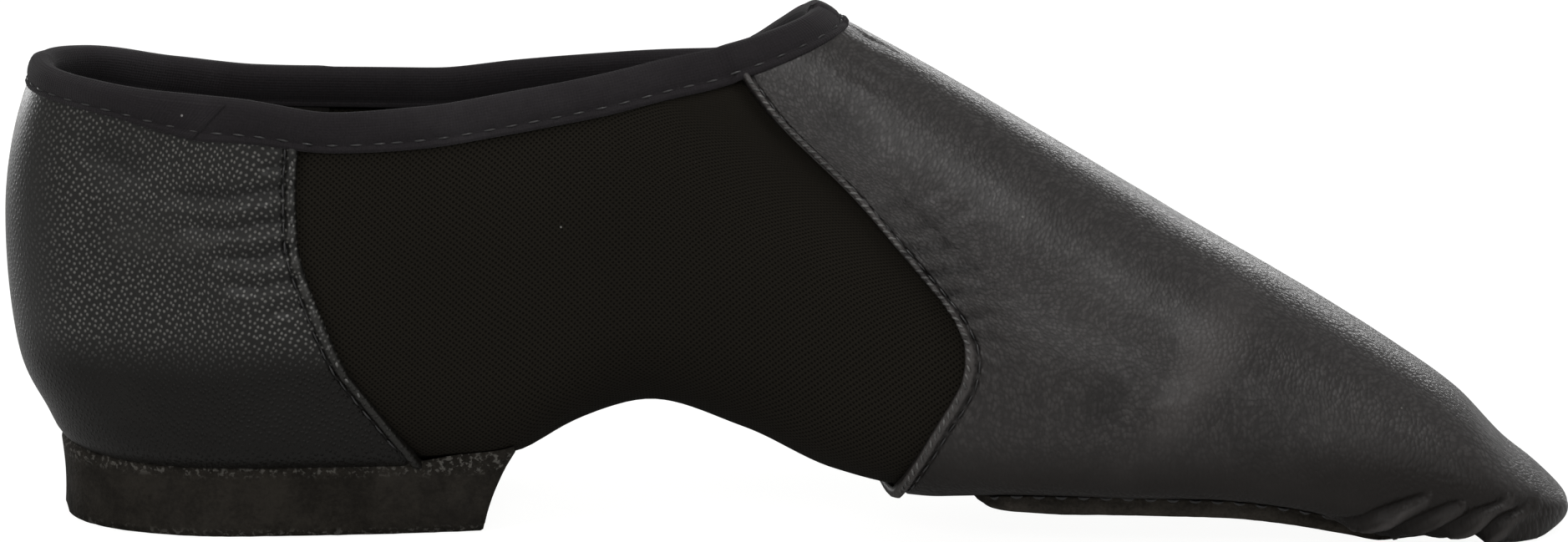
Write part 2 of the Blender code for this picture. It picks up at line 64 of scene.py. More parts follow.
# Driving sizes of the last, the same as the solids have
LENGTH = 0.2412
BALL_WIDTH = 0.0840
INSTEP_HEIGHT = 0.0786
COLLAR_HEIGHT = 0.0700
HEEL_HEIGHT = 0.0108
ARCH_HEIGHT = 0.0178
BALL_LIFT = 0.0050
WALL = 0.0010
LEATHER = 0.0010
BINDING_DROP = 0.0050
PATCH_THICKNESS = 0.0018
GAP = 0.0003
HEEL_RADIUS = 0.0350
HEEL_REACH = 0.0362
BACK_BULGE_HEIGHT = 0.0460
BACK_LEAN = 0.0054
TOP_LEAN = 0.0050
BACK_POWER = 2.2
HEEL_TUCK = 0.0023
HEEL_TUCK_HEIGHT = 0.0160
HEEL_TUCK_WIDTH = 0.0055
TOE_ROUND = 0.0324
TOE_POWER = 2.6
NOSE_ROUND = 0.0060
NOSE_HEIGHT = 0.0029
NOSE_POWER = 2.0
HEEL_BREAST = 0.0766
BREAST_SLOPE = 0.0050
HEEL_TAPER = 0.0006
BREAST_NARROWING = 0.10
PATCH_START = 0.1465
PATCH_END = 0.2235
PATCH_HEEL_ROUND = 0.0080
PATCH_TOE_ROUND = 0.0300
PATCH_EDGE = -0.54
THROAT_SHARE = 0.516
SHELL = GAP + LEATHER
LAST_LENGTH = LENGTH - 2 * SHELL - (HEEL_REACH - HEEL_RADIUS)
SOLE_STACK = SHELL + GAP + PATCH_THICKNESS
THROAT = THROAT_SHARE * LAST_LENGTH
TINY = 1e-7
GROUND = 0.0001

# Thread and the steps of the sewn rows
THREAD = 0.00042
VAMP_PITCH = 0.0026
COUNTER_PITCH = 0.0029
BINDING_PITCH = 0.0034
PATCH_PITCH = 0.0034
SEWN_GROOVE = 0.00042

# Where edges and openings lie, and how far leather and heel stand out of the last
HIDDEN_EDGE = 0.0022
LINING_EDGE = 0.0030
SEAM_BAND = 0.0034
HEEL_OPENING = 0.060
FOREFOOT_OPENING = (0.1435, 0.197)
TOE_BULGE = 0.0013
PATCH_BULGE = 0.00070
TOE_SAG = 0.0004
HEEL_TOP_RISE = 0.0006
HEEL_BACK_REACH = 0.0009
WALL_NORMAL = 0.6

# Lint, and where the grain tops' painted highlight and gloss fade towards the heel's back
LINT = (0.3, 0.29, 0.27, 1.0)
BARE_BACK = (-0.1175, -0.1075)

# Sections along the last: shares of the last's length, the ball width and the instep height
SECTION_COLUMNS = ("at", "medial", "lateral", "centre", "widest", "crown", "side_power", "sole_power", "roll")
SECTIONS = (
    (0.147, 0.324, 0.329, 0.000, 0.305, 1.400, 2.00, 6.0, 0.00),
    (0.250, 0.310, 0.333, 0.000, 0.344, 1.349, 2.00, 6.0, 0.00),
    (0.310, 0.302, 0.338, 0.003, 0.385, 1.290, 2.00, 5.6, 0.02),
    (0.350, 0.298, 0.345, 0.006, 0.420, 1.234, 2.00, 3.8, 0.06),
    (0.410, 0.298, 0.369, 0.006, 0.440, 1.145, 2.00, 2.6, 0.09),
    (0.470, 0.321, 0.405, 0.006, 0.415, 1.052, 2.00, 2.8, 0.07),
    (0.530, 0.351, 0.452, 0.000, 0.365, 0.959, 2.00, 3.4, 0.03),
    (0.600, 0.381, 0.500, -0.012, 0.293, 0.841, 2.00, 4.2, 0.00),
    (0.660, 0.396, 0.530, -0.030, 0.248, 0.733, 2.00, 4.5, 0.00),
    (0.720, 0.393, 0.533, -0.048, 0.229, 0.625, 2.00, 4.5, 0.00),
    (0.780, 0.363, 0.514, -0.071, 0.210, 0.518, 2.00, 4.5, 0.00),
    (0.840, 0.315, 0.470, -0.095, 0.172, 0.414, 2.00, 4.5, 0.00),
    (0.890, 0.270, 0.408, -0.119, 0.140, 0.322, 2.00, 4.4, 0.00),
    (0.930, 0.250, 0.356, -0.137, 0.108, 0.238, 2.10, 4.2, 0.00),
    (0.965, 0.240, 0.322, -0.143, 0.072, 0.127, 2.20, 4.0, 0.00),
    (1.000, 0.235, 0.280, -0.143, 0.040, 0.055, 2.20, 3.0, 0.00),
)

# Underside of the upper along its middle: shares of the heel height, arch height, ball lift and sole stack
FLOOR_COLUMNS = ("at", "heel", "arch", "ball", "stack")
FLOOR = (
    (0.000, 1.00, 0.00, 0.00, 0.00),
    (0.280, 1.00, 0.00, 0.00, 0.00),
    (0.326, 0.58, 0.27, 0.00, 0.00),
    (0.361, 0.18, 0.71, 0.00, 0.00),
    (0.385, 0.00, 0.92, 0.00, 0.00),
    (0.410, 0.00, 0.97, 0.00, 0.00),
    (0.470, 0.00, 0.65, 0.12, 0.34),
    (0.530, 0.00, 0.18, 0.26, 1.00),
    (0.600, 0.00, 0.00, 0.68, 1.00),
    (0.660, 0.00, 0.00, 0.94, 1.00),
    (0.720, 0.00, 0.00, 0.98, 1.00),
    (0.780, 0.00, 0.00, 0.90, 1.00),
    (0.820, 0.00, 0.00, 0.68, 1.00),
    (0.858, 0.00, 0.00, 0.30, 1.00),
    (0.885, 0.00, 0.00, 0.00, 1.00),
    (0.930, 0.00, 0.00, 0.00, 1.00),
    (0.948, 0.00, 0.00, 0.00, 0.90),
    (0.968, 0.00, 0.00, 0.00, 0.48),
    (1.000, 0.00, 0.00, 0.00, 0.42),
)

# Rim of the collar: shares of the collar height on the inner and the outer side
RIM_COLUMNS = ("at", "medial", "lateral")
RIM = (
    (0.000, 1.003, 1.003),
    (0.050, 0.993, 0.981),
    (0.100, 0.976, 0.938),
    (0.147, 0.963, 0.914),
    (0.210, 0.931, 0.910),
    (0.265, 0.941, 0.908),
    (0.320, 0.969, 0.925),
    (0.375, 1.001, 0.939),
    (0.425, 1.037, 0.948),
    (0.448, 1.050, 0.950),
    (0.472, 1.066, 0.972),
    (0.494, 1.083, 1.028),
    (0.516, 1.101, 1.101),
)

# The two seams across the side: how far round the section (-1 middle underneath, 0 widest line, 1 ridge),
# and where along the last, as a share of its length
COUNTER_SEAM = (
    (-1.000, 0.2850),
    (-0.473, 0.2617),
    (-0.356, 0.2490),
    (-0.222, 0.2359),
    (0.000, 0.2190),
    (0.032, 0.2105),
    (0.069, 0.2025),
    (0.106, 0.1950),
    (0.135, 0.1898),
    (0.167, 0.1865),
    (0.223, 0.1857),
    (0.280, 0.1872),
    (0.330, 0.1880),
    (1.000, 0.1890),
)
VAMP_SEAM = (
    (-1.000, 0.5550),
    (-0.523, 0.5703),
    (-0.397, 0.5784),
    (-0.305, 0.5860),
    (-0.130, 0.5975),
    (0.000, 0.6050),
    (0.071, 0.6135),
    (0.121, 0.6155),
    (0.155, 0.6143),
    (0.188, 0.6100),
    (0.222, 0.6020),
    (0.255, 0.5905),
    (0.289, 0.5775),
    (0.322, 0.5640),
    (0.364, 0.5470),
    (0.397, 0.5315),
    (0.431, 0.5125),
    (0.471, 0.4920),
    (0.508, 0.4795),
    (0.552, 0.4685),
    (0.620, 0.4600),
    (1.000, 0.4550),
)

# Creases, given in millimetres along the last and above the floor.
# width and depth are of the trough (below zero) or ridge.
# lip is the height of the puffed fold under a trough.
# start and finish say how much of the depth is left at each end.
CREASE_COLUMNS = ("side", "points", "width", "depth", "lip", "start", "finish")
VAMP_CREASES = (
    (-1, ((202.8, 6.9), (206.5, 6.6), (210.5, 7.2), (215.5, 8.6)), 0.50, -1.25, 0.85, 0.5, 0.5),
    (-1, ((206.5, 5.2), (210.5, 5.2), (215.0, 5.9), (220.5, 7.3)), 0.50, -1.35, 0.95, 0.6, 0.5),
    (-1, ((212.5, 4.6), (217.0, 4.8), (222.0, 5.5), (227.5, 6.9)), 0.50, -1.30, 0.95, 0.6, 0.5),
    (-1, ((219.5, 4.0), (224.0, 4.1), (228.0, 4.8), (231.5, 5.8)), 0.45, -1.05, 0.80, 0.6, 0.5),
    (-1, ((133.6, 51.4), (138.8, 52.6), (144.0, 54.4)), 1.00, -0.49, 0.17, 1.0, 0.0),
    (-1, ((135.6, 48.4), (141.5, 49.4), (148.5, 51.4)), 1.05, -0.61, 0.23, 1.0, 0.0),
    (-1, ((137.6, 45.2), (144.2, 46.3), (151.0, 47.2)), 1.10, -0.75, 0.29, 1.0, 0.0),
    (-1, ((139.8, 41.8), (145.4, 42.9), (152.8, 44.2)), 1.15, -0.87, 0.35, 1.0, 0.0),
    (-1, ((141.8, 38.8), (147.3, 39.9), (154.0, 41.2)), 1.15, -0.84, 0.32, 1.0, 0.0),
    (-1, ((143.6, 35.6), (148.2, 36.2), (153.2, 37.4)), 1.10, -0.61, 0.23, 1.0, 0.0),
    (-1, ((145.0, 32.4), (149.4, 32.8), (152.4, 33.4)), 1.05, -0.43, 0.14, 1.0, 0.0),
    (-1, ((150.0, 56.5), (156.0, 50.0), (162.0, 40.0)), 7.00, 0.25, 0.00, 0.3, 0.1),
    (-1, ((162.5, 17.5), (168.5, 23.5), (174.5, 30.0), (178.5, 37.0)), 5.20, -0.75, 0.00, 0.3, 0.1),
    (-1, ((170.0, 16.5), (177.0, 24.0), (185.0, 33.0), (192.0, 42.0)), 7.60, 0.72, 0.00, 0.5, 0.3),
    (-1, ((184.0, 13.0), (192.0, 20.0), (198.0, 30.0)), 7.50, -0.45, 0.00, 0.3, 0.1),
    (-1, ((126.5, 75.2), (131.0, 72.6), (137.5, 69.0)), 0.50, -0.22, 0.08, 0.6, 0.0),
    (-1, ((128.0, 72.6), (133.0, 70.2), (139.5, 66.8)), 0.55, -0.22, 0.08, 0.5, 0.0),
    (-1, ((127.2, 70.0), (131.4, 68.2), (135.5, 66.4)), 0.60, -0.18, 0.06, 0.6, 0.0),
    (-1, ((124.0, 66.5), (131.0, 60.0), (135.0, 56.5)), 4.00, -0.45, 0.00, 0.6, 0.1),
    (1, ((204.0, 4.8), (208.0, 4.6), (212.0, 5.8), (215.0, 7.6)), 0.50, -0.70, 0.40, 0.5, 0.0),
    (1, ((208.0, 3.6), (213.4, 3.9), (218.0, 5.4), (221.6, 7.2)), 0.50, -0.75, 0.45, 0.5, 0.0),
    (1, ((212.4, 2.8), (218.4, 3.2), (223.6, 4.2), (227.4, 5.8)), 0.50, -0.65, 0.40, 0.5, 0.0),
    (1, ((136.4, 48.0), (142.5, 49.0), (149.5, 51.0)), 0.75, -0.38, 0.14, 1.0, 0.0),
    (1, ((138.6, 44.0), (144.8, 45.0), (151.4, 46.2)), 0.80, -0.46, 0.18, 1.0, 0.0),
    (1, ((140.8, 40.2), (146.0, 41.3), (153.0, 42.2)), 0.85, -0.50, 0.20, 1.0, 0.0),
    (1, ((143.0, 36.0), (147.6, 36.8), (152.8, 38.2)), 0.80, -0.36, 0.14, 1.0, 0.0),
    (1, ((164.0, 14.0), (170.0, 22.0), (174.0, 31.0)), 5.50, -0.50, 0.00, 0.4, 0.1),
    (1, ((173.0, 13.5), (180.0, 22.5), (186.0, 31.0)), 6.00, 0.80, 0.00, 0.5, 0.2),
)
COUNTER_CREASES = (
    (-1, ((24.0, 54.4), (33.0, 53.6), (44.5, 55.2)), 1.60, -0.75, 0.35, 0.0, 0.9),
    (-1, ((26.0, 49.6), (34.0, 49.0), (44.8, 50.8)), 1.50, -0.92, 0.44, 0.0, 0.9),
    (-1, ((30.0, 45.2), (37.2, 44.6), (45.0, 46.2)), 1.40, -0.88, 0.44, 0.0, 1.0),
    (-1, ((31.0, 41.2), (38.0, 40.2), (46.0, 41.8)), 1.30, -0.66, 0.31, 0.0, 1.0),
    (-1, ((38.0, 57.8), (42.0, 58.4), (45.0, 59.4)), 1.00, -0.53, 0.22, 0.0, 1.0),
    (-1, ((39.0, 36.6), (43.0, 36.4), (46.6, 37.4)), 0.95, -0.48, 0.18, 0.0, 1.0),
    (-1, ((14.0, 62.0), (21.0, 58.0), (27.0, 60.0)), 3.60, -0.55, 0.00, 0.2, 0.2),
    (-1, ((16.0, 47.0), (25.0, 46.5), (33.0, 48.0)), 4.00, 0.45, 0.00, 0.0, 0.4),
    (-1, ((20.0, 22.0), (30.0, 19.0), (44.0, 20.0)), 6.00, -0.35, 0.00, 0.2, 0.2),
    (1, ((28.0, 53.0), (36.0, 52.2), (44.6, 53.6)), 1.60, -0.48, 0.20, 0.0, 0.9),
    (1, ((30.0, 47.0), (37.0, 46.4), (45.0, 48.0)), 1.50, -0.50, 0.22, 0.0, 1.0),
    (1, ((33.0, 41.6), (39.0, 41.0), (45.6, 42.4)), 1.40, -0.38, 0.16, 0.0, 1.0),
    (1, ((14.0, 60.0), (21.0, 57.0), (28.0, 58.0)), 3.60, -0.45, 0.00, 0.2, 0.2),
)


def smooth_curve(rows):
    """Return a smooth function through (at, value) rows that never overshoots between them."""
    ats = [row[0] for row in rows]
    values = [row[1] for row in rows]
    rises = [(values[k + 1] - values[k]) / (ats[k + 1] - ats[k]) for k in range(len(ats) - 1)]
    slopes = [rises[0]]
    for before, after in zip(rises, rises[1:]):
        slopes.append(0.0 if before * after <= 0 else 2 * before * after / (before + after))
    slopes.append(rises[-1])

    def value(at):
        k = min(max(bisect_right(ats, at) - 1, 0), len(ats) - 2)
        span = ats[k + 1] - ats[k]
        t = min(max((at - ats[k]) / span, 0.0), 1.0)
        ease = t * t * (3 - 2 * t)
        bend = t * (1 - t) * span * (slopes[k] * (1 - t) - slopes[k + 1] * t)
        return values[k] * (1 - ease) + values[k + 1] * ease + bend

    return value


def columns_of(names, rows):
    """Return one smooth function for each named column of a table, over its first column."""
    return {name: smooth_curve([(row[0], row[k]) for row in rows]) for k, name in enumerate(names) if k}


SECTION = columns_of(SECTION_COLUMNS, SECTIONS)
UNDERSIDE = columns_of(FLOOR_COLUMNS, FLOOR)
COLLAR = columns_of(RIM_COLUMNS, RIM)


def seam_curve(rows):
    """A seam's run by how far round the section it is, smooth on either side of the widest line."""
    under = smooth_curve([row for row in rows if row[0] <= 0])
    above = smooth_curve([row for row in rows if row[0] >= 0])
    return lambda round_share: LAST_LENGTH * (under if round_share < 0 else above)(round_share)


counter_seam = seam_curve(COUNTER_SEAM)
vamp_seam = seam_curve(VAMP_SEAM)


def hill(value, middle, width):
    """A soft bump of height 1 round a value."""
    return math.exp(-((value - middle) / width) ** 2)


def ease(value, low, high):
    """A soft step from 0 at low to 1 at high."""
    t = min(max((value - low) / (high - low), 0.0), 1.0)
    return t * t * (3 - 2 * t)


def quarter(angle, power):
    """Point of a quarter superellipse at an angle: how far across and how far along its height."""
    across = math.cos(angle)
    along = math.sin(angle)
    radius = (abs(across) ** power + abs(along) ** power) ** (1 / power)
    return across / radius, along / radius


def floor_height(share):
    """Height of the upper's underside along its middle."""
    lifts = {"heel": HEEL_HEIGHT, "arch": ARCH_HEIGHT, "ball": BALL_LIFT, "stack": SOLE_STACK}
    return sum(UNDERSIDE[name](share) * lift for name, lift in lifts.items())


def rim_angle(run, side):
    """Angle at which the section stops: at the collar, or at the ridge in front of the throat."""
    if run >= THROAT:
        return math.pi / 2
    share = max(run, HEEL_RADIUS) / LAST_LENGTH
    widest = INSTEP_HEIGHT * SECTION["widest"](share)
    crown = INSTEP_HEIGHT * SECTION["crown"](share)
    power = SECTION["side_power"](share)
    rim = COLLAR_HEIGHT * COLLAR["medial" if side < 0 else "lateral"](run / LAST_LENGTH)
    up = min((rim - widest) / (crown - widest), 0.9999)
    return math.atan2(up, (1 - up ** power) ** (1 / power))


def round_end(past, length, power):
    """Share of the width that is left where an end closes, from 1 down to 0 over a length."""
    if past <= 0:
        return 1.0
    return max(1 - min(past / length, 1.0) ** power, 0.0) ** (1 / power)


def skin(run, height, side):
    """Point on the outer face of the upper.

    height is how far round the section it lies: -1 middle underneath, 0 widest line, 1 ridge.
    """
    share = min(max(run, HEEL_RADIUS), LAST_LENGTH) / LAST_LENGTH
    half = BALL_WIDTH * SECTION["medial" if side < 0 else "lateral"](share)
    centre = BALL_WIDTH * SECTION["centre"](share)
    widest = INSTEP_HEIGHT * SECTION["widest"](share)
    if height < 0:
        across, down = quarter(-height * math.pi / 2, SECTION["sole_power"](share))
        y = half * across
        z = widest - (widest - floor_height(share)) * down - side * SECTION["roll"](share) * y * down
        seat = across
    else:
        crown = INSTEP_HEIGHT * SECTION["crown"](share)
        across, up = quarter(height * math.pi / 2, SECTION["side_power"](share))
        y = half * across
        z = widest + (crown - widest) * up
        seat = 1.0
    if run < HEEL_RADIUS:
        turn = run / HEEL_RADIUS * math.pi / 2
        if z > BACK_BULGE_HEIGHT:
            lean = TOP_LEAN * ((z - BACK_BULGE_HEIGHT) / (COLLAR_HEIGHT - BACK_BULGE_HEIGHT)) ** 2
        else:
            lean = BACK_LEAN * ((BACK_BULGE_HEIGHT - z) / (BACK_BULGE_HEIGHT - HEEL_HEIGHT)) ** 2
        back = (HEEL_REACH - lean) * seat - HEEL_TUCK * hill(z, HEEL_TUCK_HEIGHT, HEEL_TUCK_WIDTH)
        if y < TINY or back < TINY:
            return Vector((HEEL_RADIUS, centre, z))
        round_sum = (math.cos(turn) / back) ** BACK_POWER + (math.sin(turn) / y) ** BACK_POWER
        reach = round_sum ** (-1 / BACK_POWER)
        return Vector((HEEL_RADIUS - reach * math.cos(turn), centre + side * reach * math.sin(turn), z))
    run = min(run, LAST_LENGTH)
    y *= round_end(run - (LAST_LENGTH - TOE_ROUND), TOE_ROUND, TOE_POWER)
    nose = round_end(run - (LAST_LENGTH - NOSE_ROUND), NOSE_ROUND, NOSE_POWER)
    return Vector((run, centre + side * y, NOSE_HEIGHT + (z - NOSE_HEIGHT) * nose))


def packed_shift():
    """Where the last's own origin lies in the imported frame."""
    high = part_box("upper")[1]
    widest = max(skin(LAST_LENGTH * k / 200, 0.0, 1).y for k in range(200))
    return Vector((high.x - LAST_LENGTH, high.y - widest, 0.0))


SHIFT = packed_shift()


def over(run, angle, side):
    """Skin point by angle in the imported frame, where a step may cross the ridge or the heel's back."""
    if angle > math.pi / 2:
        angle, side = math.pi - angle, -side
    if run < 0:
        run, side = -run, -side
    return skin(run, angle / (math.pi / 2), side) + SHIFT


def slopes_at(run, angle, side):
    """Point, its two tangents and its outward normal, by run and angle."""
    step = 0.0004
    turn = 0.01
    point = over(run, angle, side)
    along = (over(run + step, angle, side) - over(run - step, angle, side)) / (2 * step)
    up = (over(run, angle + turn, side) - over(run, angle - turn, side)) / (2 * turn)
    normal = along.cross(up) * (1 if side < 0 else -1)
    return point, along, up, normal.normalized()


def outward(run, height, side):
    """Unit normal of the skin by height, clear of the rim and of the middle underneath."""
    step = 0.0004
    turn = 0.008
    low = max(height - turn, -1.0)
    high = min(height + turn, 1.0)
    along = skin(run + step, height, side) - skin(max(run - step, 0.0), height, side)
    up = skin(run, high, side) - skin(run, low, side)
    normal = along.cross(up) * (1 if side < 0 else -1)
    return normal.normalized()


def at_run(run):
    """A column across the shoe at one run."""
    return lambda height: run


def beside(line, distance):
    """A column at a distance from another."""
    return lambda height: line(height) + distance


def between(start, end, share):
    """A column part way from one column to another."""
    return lambda height: start(height) * (1 - share) + end(height) * share


def columns_through(stops):
    """Columns through a list of (line, number of steps to the next line)."""
    columns = []
    for (start, count), (end, _) in zip(stops, stops[1:]):
        columns += [between(start, end, k / count) for k in range(count)]
    return columns + [stops[-1][0]]


def nose_columns(count):
    """Columns that crowd towards the toe tip, where the sheet closes."""
    start = LAST_LENGTH - NOSE_ROUND
    return [at_run(start + NOSE_ROUND * math.sin(math.pi / 2 * k / count)) for k in range(1, count + 1)]


PLEATS_START = 0.2010
LIP = THROAT - vamp_seam(1.0) + BINDING_DROP * 0.9
RIM_SAMPLES = 90


def rim_point(run, side):
    """Point of the rim at a run."""
    return skin(run, rim_angle(run, side) / (math.pi / 2), side)


RIM_LINE = [
    rim_point(THROAT * (1 - (k / RIM_SAMPLES) ** 2), side) for side in (-1, 1) for k in range(RIM_SAMPLES + 1)
]


def rim_distance(point):
    """Distance from a point of the last to the rim of the collar."""
    return min((point - rim).length_squared for rim in RIM_LINE) ** 0.5


def top_height(column, side, drop):
    """Where a column comes within a distance of the rim, or 1 where it runs on to the ridge."""

    def clear(height):
        run = column(height)
        if run > THROAT + 2 * drop:
            return True
        if height * math.pi / 2 > rim_angle(run, side):
            return False
        return drop <= 0 or rim_distance(skin(run, height, side)) > drop

    steps = 50
    for k in range(1, steps + 1):
        if not clear(k / steps):
            low, high = (k - 1) / steps, k / steps
            for _ in range(12):
                middle = (low + high) / 2
                low, high = (middle, high) if clear(middle) else (low, middle)
            return low
    return 1.0


def rows_between(low, high, count):
    """Evenly spaced heights from low to high."""
    return [low + (high - low) * k / count for k in range(count + 1)]


def tops_below(columns, drop):
    """Height at which each column of each side comes within a distance of the rim."""
    return {(side, i): top_height(column, side, drop) for side in (-1, 1) for i, column in enumerate(columns)}


def lengths_along(points):
    """Length walked at each point of a line."""
    lengths = [0.0]
    for a, b in zip(points, points[1:]):
        lengths.append(lengths[-1] + (b - a).length)
    return lengths


def find_step(lengths, at):
    """Number of the step of a line that holds a length, and the share of it that is walked."""
    k = min(max(bisect_right(lengths, at) - 1, 0), len(lengths) - 2)
    return k, (at - lengths[k]) / max(lengths[k + 1] - lengths[k], TINY)


def grid_spots(mesh, wide, tall):
    """Lay a grid of faces and return each of its vertices with its column and row."""
    spots = {}
    for vertex in bmesh.ops.create_grid(mesh, x_segments=wide, y_segments=tall, size=1.0)["verts"]:
        spots[vertex] = (round((vertex.co.x + 1) / 2 * wide), round((vertex.co.y + 1) / 2 * tall))
    return spots


def skin_sheet(columns, heights, keep=None):
    """A fine sheet over both sides of the skin, welded and facing outwards, with its own UV map in metres.

    heights(side, column number) lists the rows; keep(run, height) says which faces stay.
    """
    mesh = bmesh.new()
    run_layer = mesh.verts.layers.float.new("run")
    height_layer = mesh.verts.layers.float.new("height")
    side_layer = mesh.verts.layers.float.new("side")
    flat = mesh.loops.layers.uv.new("UVMap")
    wide = len(columns) - 1
    tall = len(heights(-1, 0)) - 1
    for side in (-1, 1):
        rows = [heights(side, i) for i in range(wide + 1)]
        spots = grid_spots(mesh, wide, tall)
        for vertex, (i, j) in spots.items():
            height = rows[i][j]
            run = columns[i](height)
            vertex.co = skin(run, height, side) + SHIFT
            vertex[run_layer] = run
            vertex[height_layer] = height
            vertex[side_layer] = side
        place = {spot: vertex for vertex, spot in spots.items()}
        climb = {}
        for i in range(wide + 1):
            levels = lengths_along([place[i, j].co for j in range(tall + 1)])
            base = levels[min(range(tall + 1), key=lambda j: abs(rows[i][j]))]
            for j, level in enumerate(levels):
                climb[i, j] = level - base
        faces = {face for vertex in spots for face in vertex.link_faces}
        for face in faces:
            for loop in face.loops:
                run = loop.vert[run_layer]
                if run < HEEL_RADIUS:
                    run = HEEL_RADIUS - (HEEL_RADIUS - run) * math.pi / 2
                loop[flat].uv = (run, climb[spots[loop.vert]] + 0.2 * side)
        if keep:
            out = []
            for face in faces:
                run = sum(vertex[run_layer] for vertex in face.verts) / 4
                height = sum(vertex[height_layer] for vertex in face.verts) / 4
                if not keep(run, height):
                    out.append(face)
            faces -= set(out)
            bmesh.ops.delete(mesh, geom=out, context="FACES")
        if side > 0:
            bmesh.ops.reverse_faces(mesh, faces=list(faces))
    bmesh.ops.remove_doubles(mesh, verts=mesh.verts, dist=2e-6)
    bmesh.ops.dissolve_degenerate(mesh, edges=mesh.edges, dist=2e-6)
    mesh.normal_update()
    return mesh


def raise_sheet(mesh, lift):
    """Move a sheet along its normals by lift(run, height, side, point).

    lift returns a base and a relief on top of it, and the relief is kept as an attribute in millimetres.
    """
    run_layer = mesh.verts.layers.float["run"]
    height_layer = mesh.verts.layers.float["height"]
    side_layer = mesh.verts.layers.float["side"]
    relief_layer = mesh.verts.layers.float.new("relief")
    normals = {vertex: vertex.normal.copy() for vertex in mesh.verts}
    for vertex, normal in normals.items():
        side = -1 if vertex[side_layer] < 0 else 1
        base, relief = lift(vertex[run_layer], vertex[height_layer], side, vertex.co)
        vertex[relief_layer] = relief / MM
        vertex.co += normal * (base + relief)
        vertex.co.z = max(vertex.co.z, GROUND)
    mesh.normal_update()


def prepared(creases):
    """Creases with their points as pairs of ends, their lengths and the box that they can reach."""
    ready = []
    for row in creases:
        crease = dict(zip(CREASE_COLUMNS, row))
        points = [Vector(point) for point in crease["points"]]
        legs = []
        before = 0.0
        for a, b in zip(points, points[1:]):
            legs.append((a, b - a, (b - a).length, before))
            before += (b - a).length
        crease["legs"] = legs
        crease["length"] = before
        reach = crease["width"] * 3.2
        crease["low"] = Vector((min(p.x for p in points) - reach, min(p.y for p in points) - reach))
        crease["high"] = Vector((max(p.x for p in points) + reach, max(p.y for p in points) + reach))
        ready.append(crease)
    return ready


def crease_relief(creases, run, z, side):
    """Height of all the creases at a place of one side, in metres."""
    x = run / MM
    y = z / MM
    total = 0.0
    for crease in creases:
        if crease["side"] != side:
            continue
        if not (crease["low"].x < x < crease["high"].x and crease["low"].y < y < crease["high"].y):
            continue
        best = None
        for a, leg, length, before in crease["legs"]:
            t = ((x - a.x) * leg.x + (y - a.y) * leg.y) / (length * length)
            t = min(max(t, 0.0), 1.0)
            dx = x - a.x - leg.x * t
            dy = y - a.y - leg.y * t
            gap = math.hypot(dx, dy)
            if best is None or gap < best[0]:
                best = (gap, (before + t * length) / crease["length"], -leg.y * dx + leg.x * dy)
        gap, along, cross = best
        signed = math.copysign(gap, cross)
        width = crease["width"] * (1 + 0.25 * noise.noise(Vector((x * 0.5, y * 0.5, 3.0))))
        fade = crease["start"] + (1 - crease["start"]) * ease(along, 0.0, 0.3)
        fade *= crease["finish"] + (1 - crease["finish"]) * (1 - ease(along, 0.45, 1.0))
        total += crease["depth"] * fade * math.exp(-(gap / width) ** 2)
        if crease["lip"]:
            total += crease["lip"] * fade * hill(signed, -2.0 * width, width * 1.2)
    return total * MM


def folded_edge(distance, thickness, width):
    """Height of a turned edge over its leather: round at the rim, with a sewn groove behind it."""
    if distance < 0:
        return -LEATHER * 0.6
    rim = math.sqrt(max(1 - (1 - min(distance / (width * 0.28), 1.0)) ** 2, 0.0))
    raised = thickness * (1 - ease(distance, width * 0.62, width * 1.0))
    groove = -SEWN_GROOVE * hill(distance, width * 1.08, width * 0.16)
    return (rim - 1) * LEATHER * 0.8 + raised * rim + groove


def bare_of_tape(point, ahead):
    """0 where a seam's fold runs under the binding, 1 where it is in sight."""
    if ahead > 0.004:
        return 1.0
    return ease(rim_distance(point - SHIFT), BINDING_DROP - 0.0012, BINDING_DROP + 0.0008)


def piece_from(mesh, name, node, material, wall=None):
    """Turn a bmesh into a piece that rides on the shoe, takes a material and may replace a solid."""
    data = bpy.data.meshes.new(name)
    mesh.to_mesh(data)
    mesh.free()
    piece = bpy.data.objects.new(name, data)
    bpy.context.scene.collection.objects.link(piece)
    data.materials.append(material)
    data.shade_smooth()
    if wall:
        shell = piece.modifiers.new("wall", "SOLIDIFY")
        shell.thickness = wall
        shell.offset = -1.0
        shell.use_quality_normals = True
    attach(piece, "root")
    if node:
        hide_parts(node)
    return piece


def add_node(tree, kind, inputs=None, **settings):
    """Add a shader node, set its properties, and set or link its inputs by name or number."""
    made = tree.nodes.new("ShaderNode" + kind)
    for name, value in settings.items():
        setattr(made, name, value)
    for key, value in (inputs or {}).items():
        if isinstance(value, bpy.types.NodeSocket):
            tree.links.new(value, made.inputs[key])
        else:
            made.inputs[key].default_value = value
    return made


def maths(tree, operation, a, b=0.0):
    """One step of arithmetic between two sockets or numbers."""
    return add_node(tree, "Math", {0: a, 1: b}, operation=operation).outputs[0]


def plus(tree, value, mask, share):
    """A value with a share of a mask added to it."""
    return maths(tree, "ADD", value, maths(tree, "MULTIPLY", mask, share))


def spread(tree, value, low, high, to_low=0.0, to_high=1.0):
    """Bring a value from one range to another, with soft ends."""
    settings = {"Value": value, "From Min": low, "From Max": high, "To Min": to_low, "To Max": to_high}
    return add_node(tree, "MapRange", settings, interpolation_type="SMOOTHSTEP").outputs["Result"]


def mixed(tree, factor, a, b):
    """A colour between two colours."""
    return add_node(tree, "Mix", {0: factor, 6: a, 7: b}, data_type="RGBA").outputs[2]


def tinted(tree, body, mask, share, colour):
    """A colour with a share of another laid over it where a mask says so."""
    return mixed(tree, maths(tree, "MULTIPLY", mask, share), body, colour)


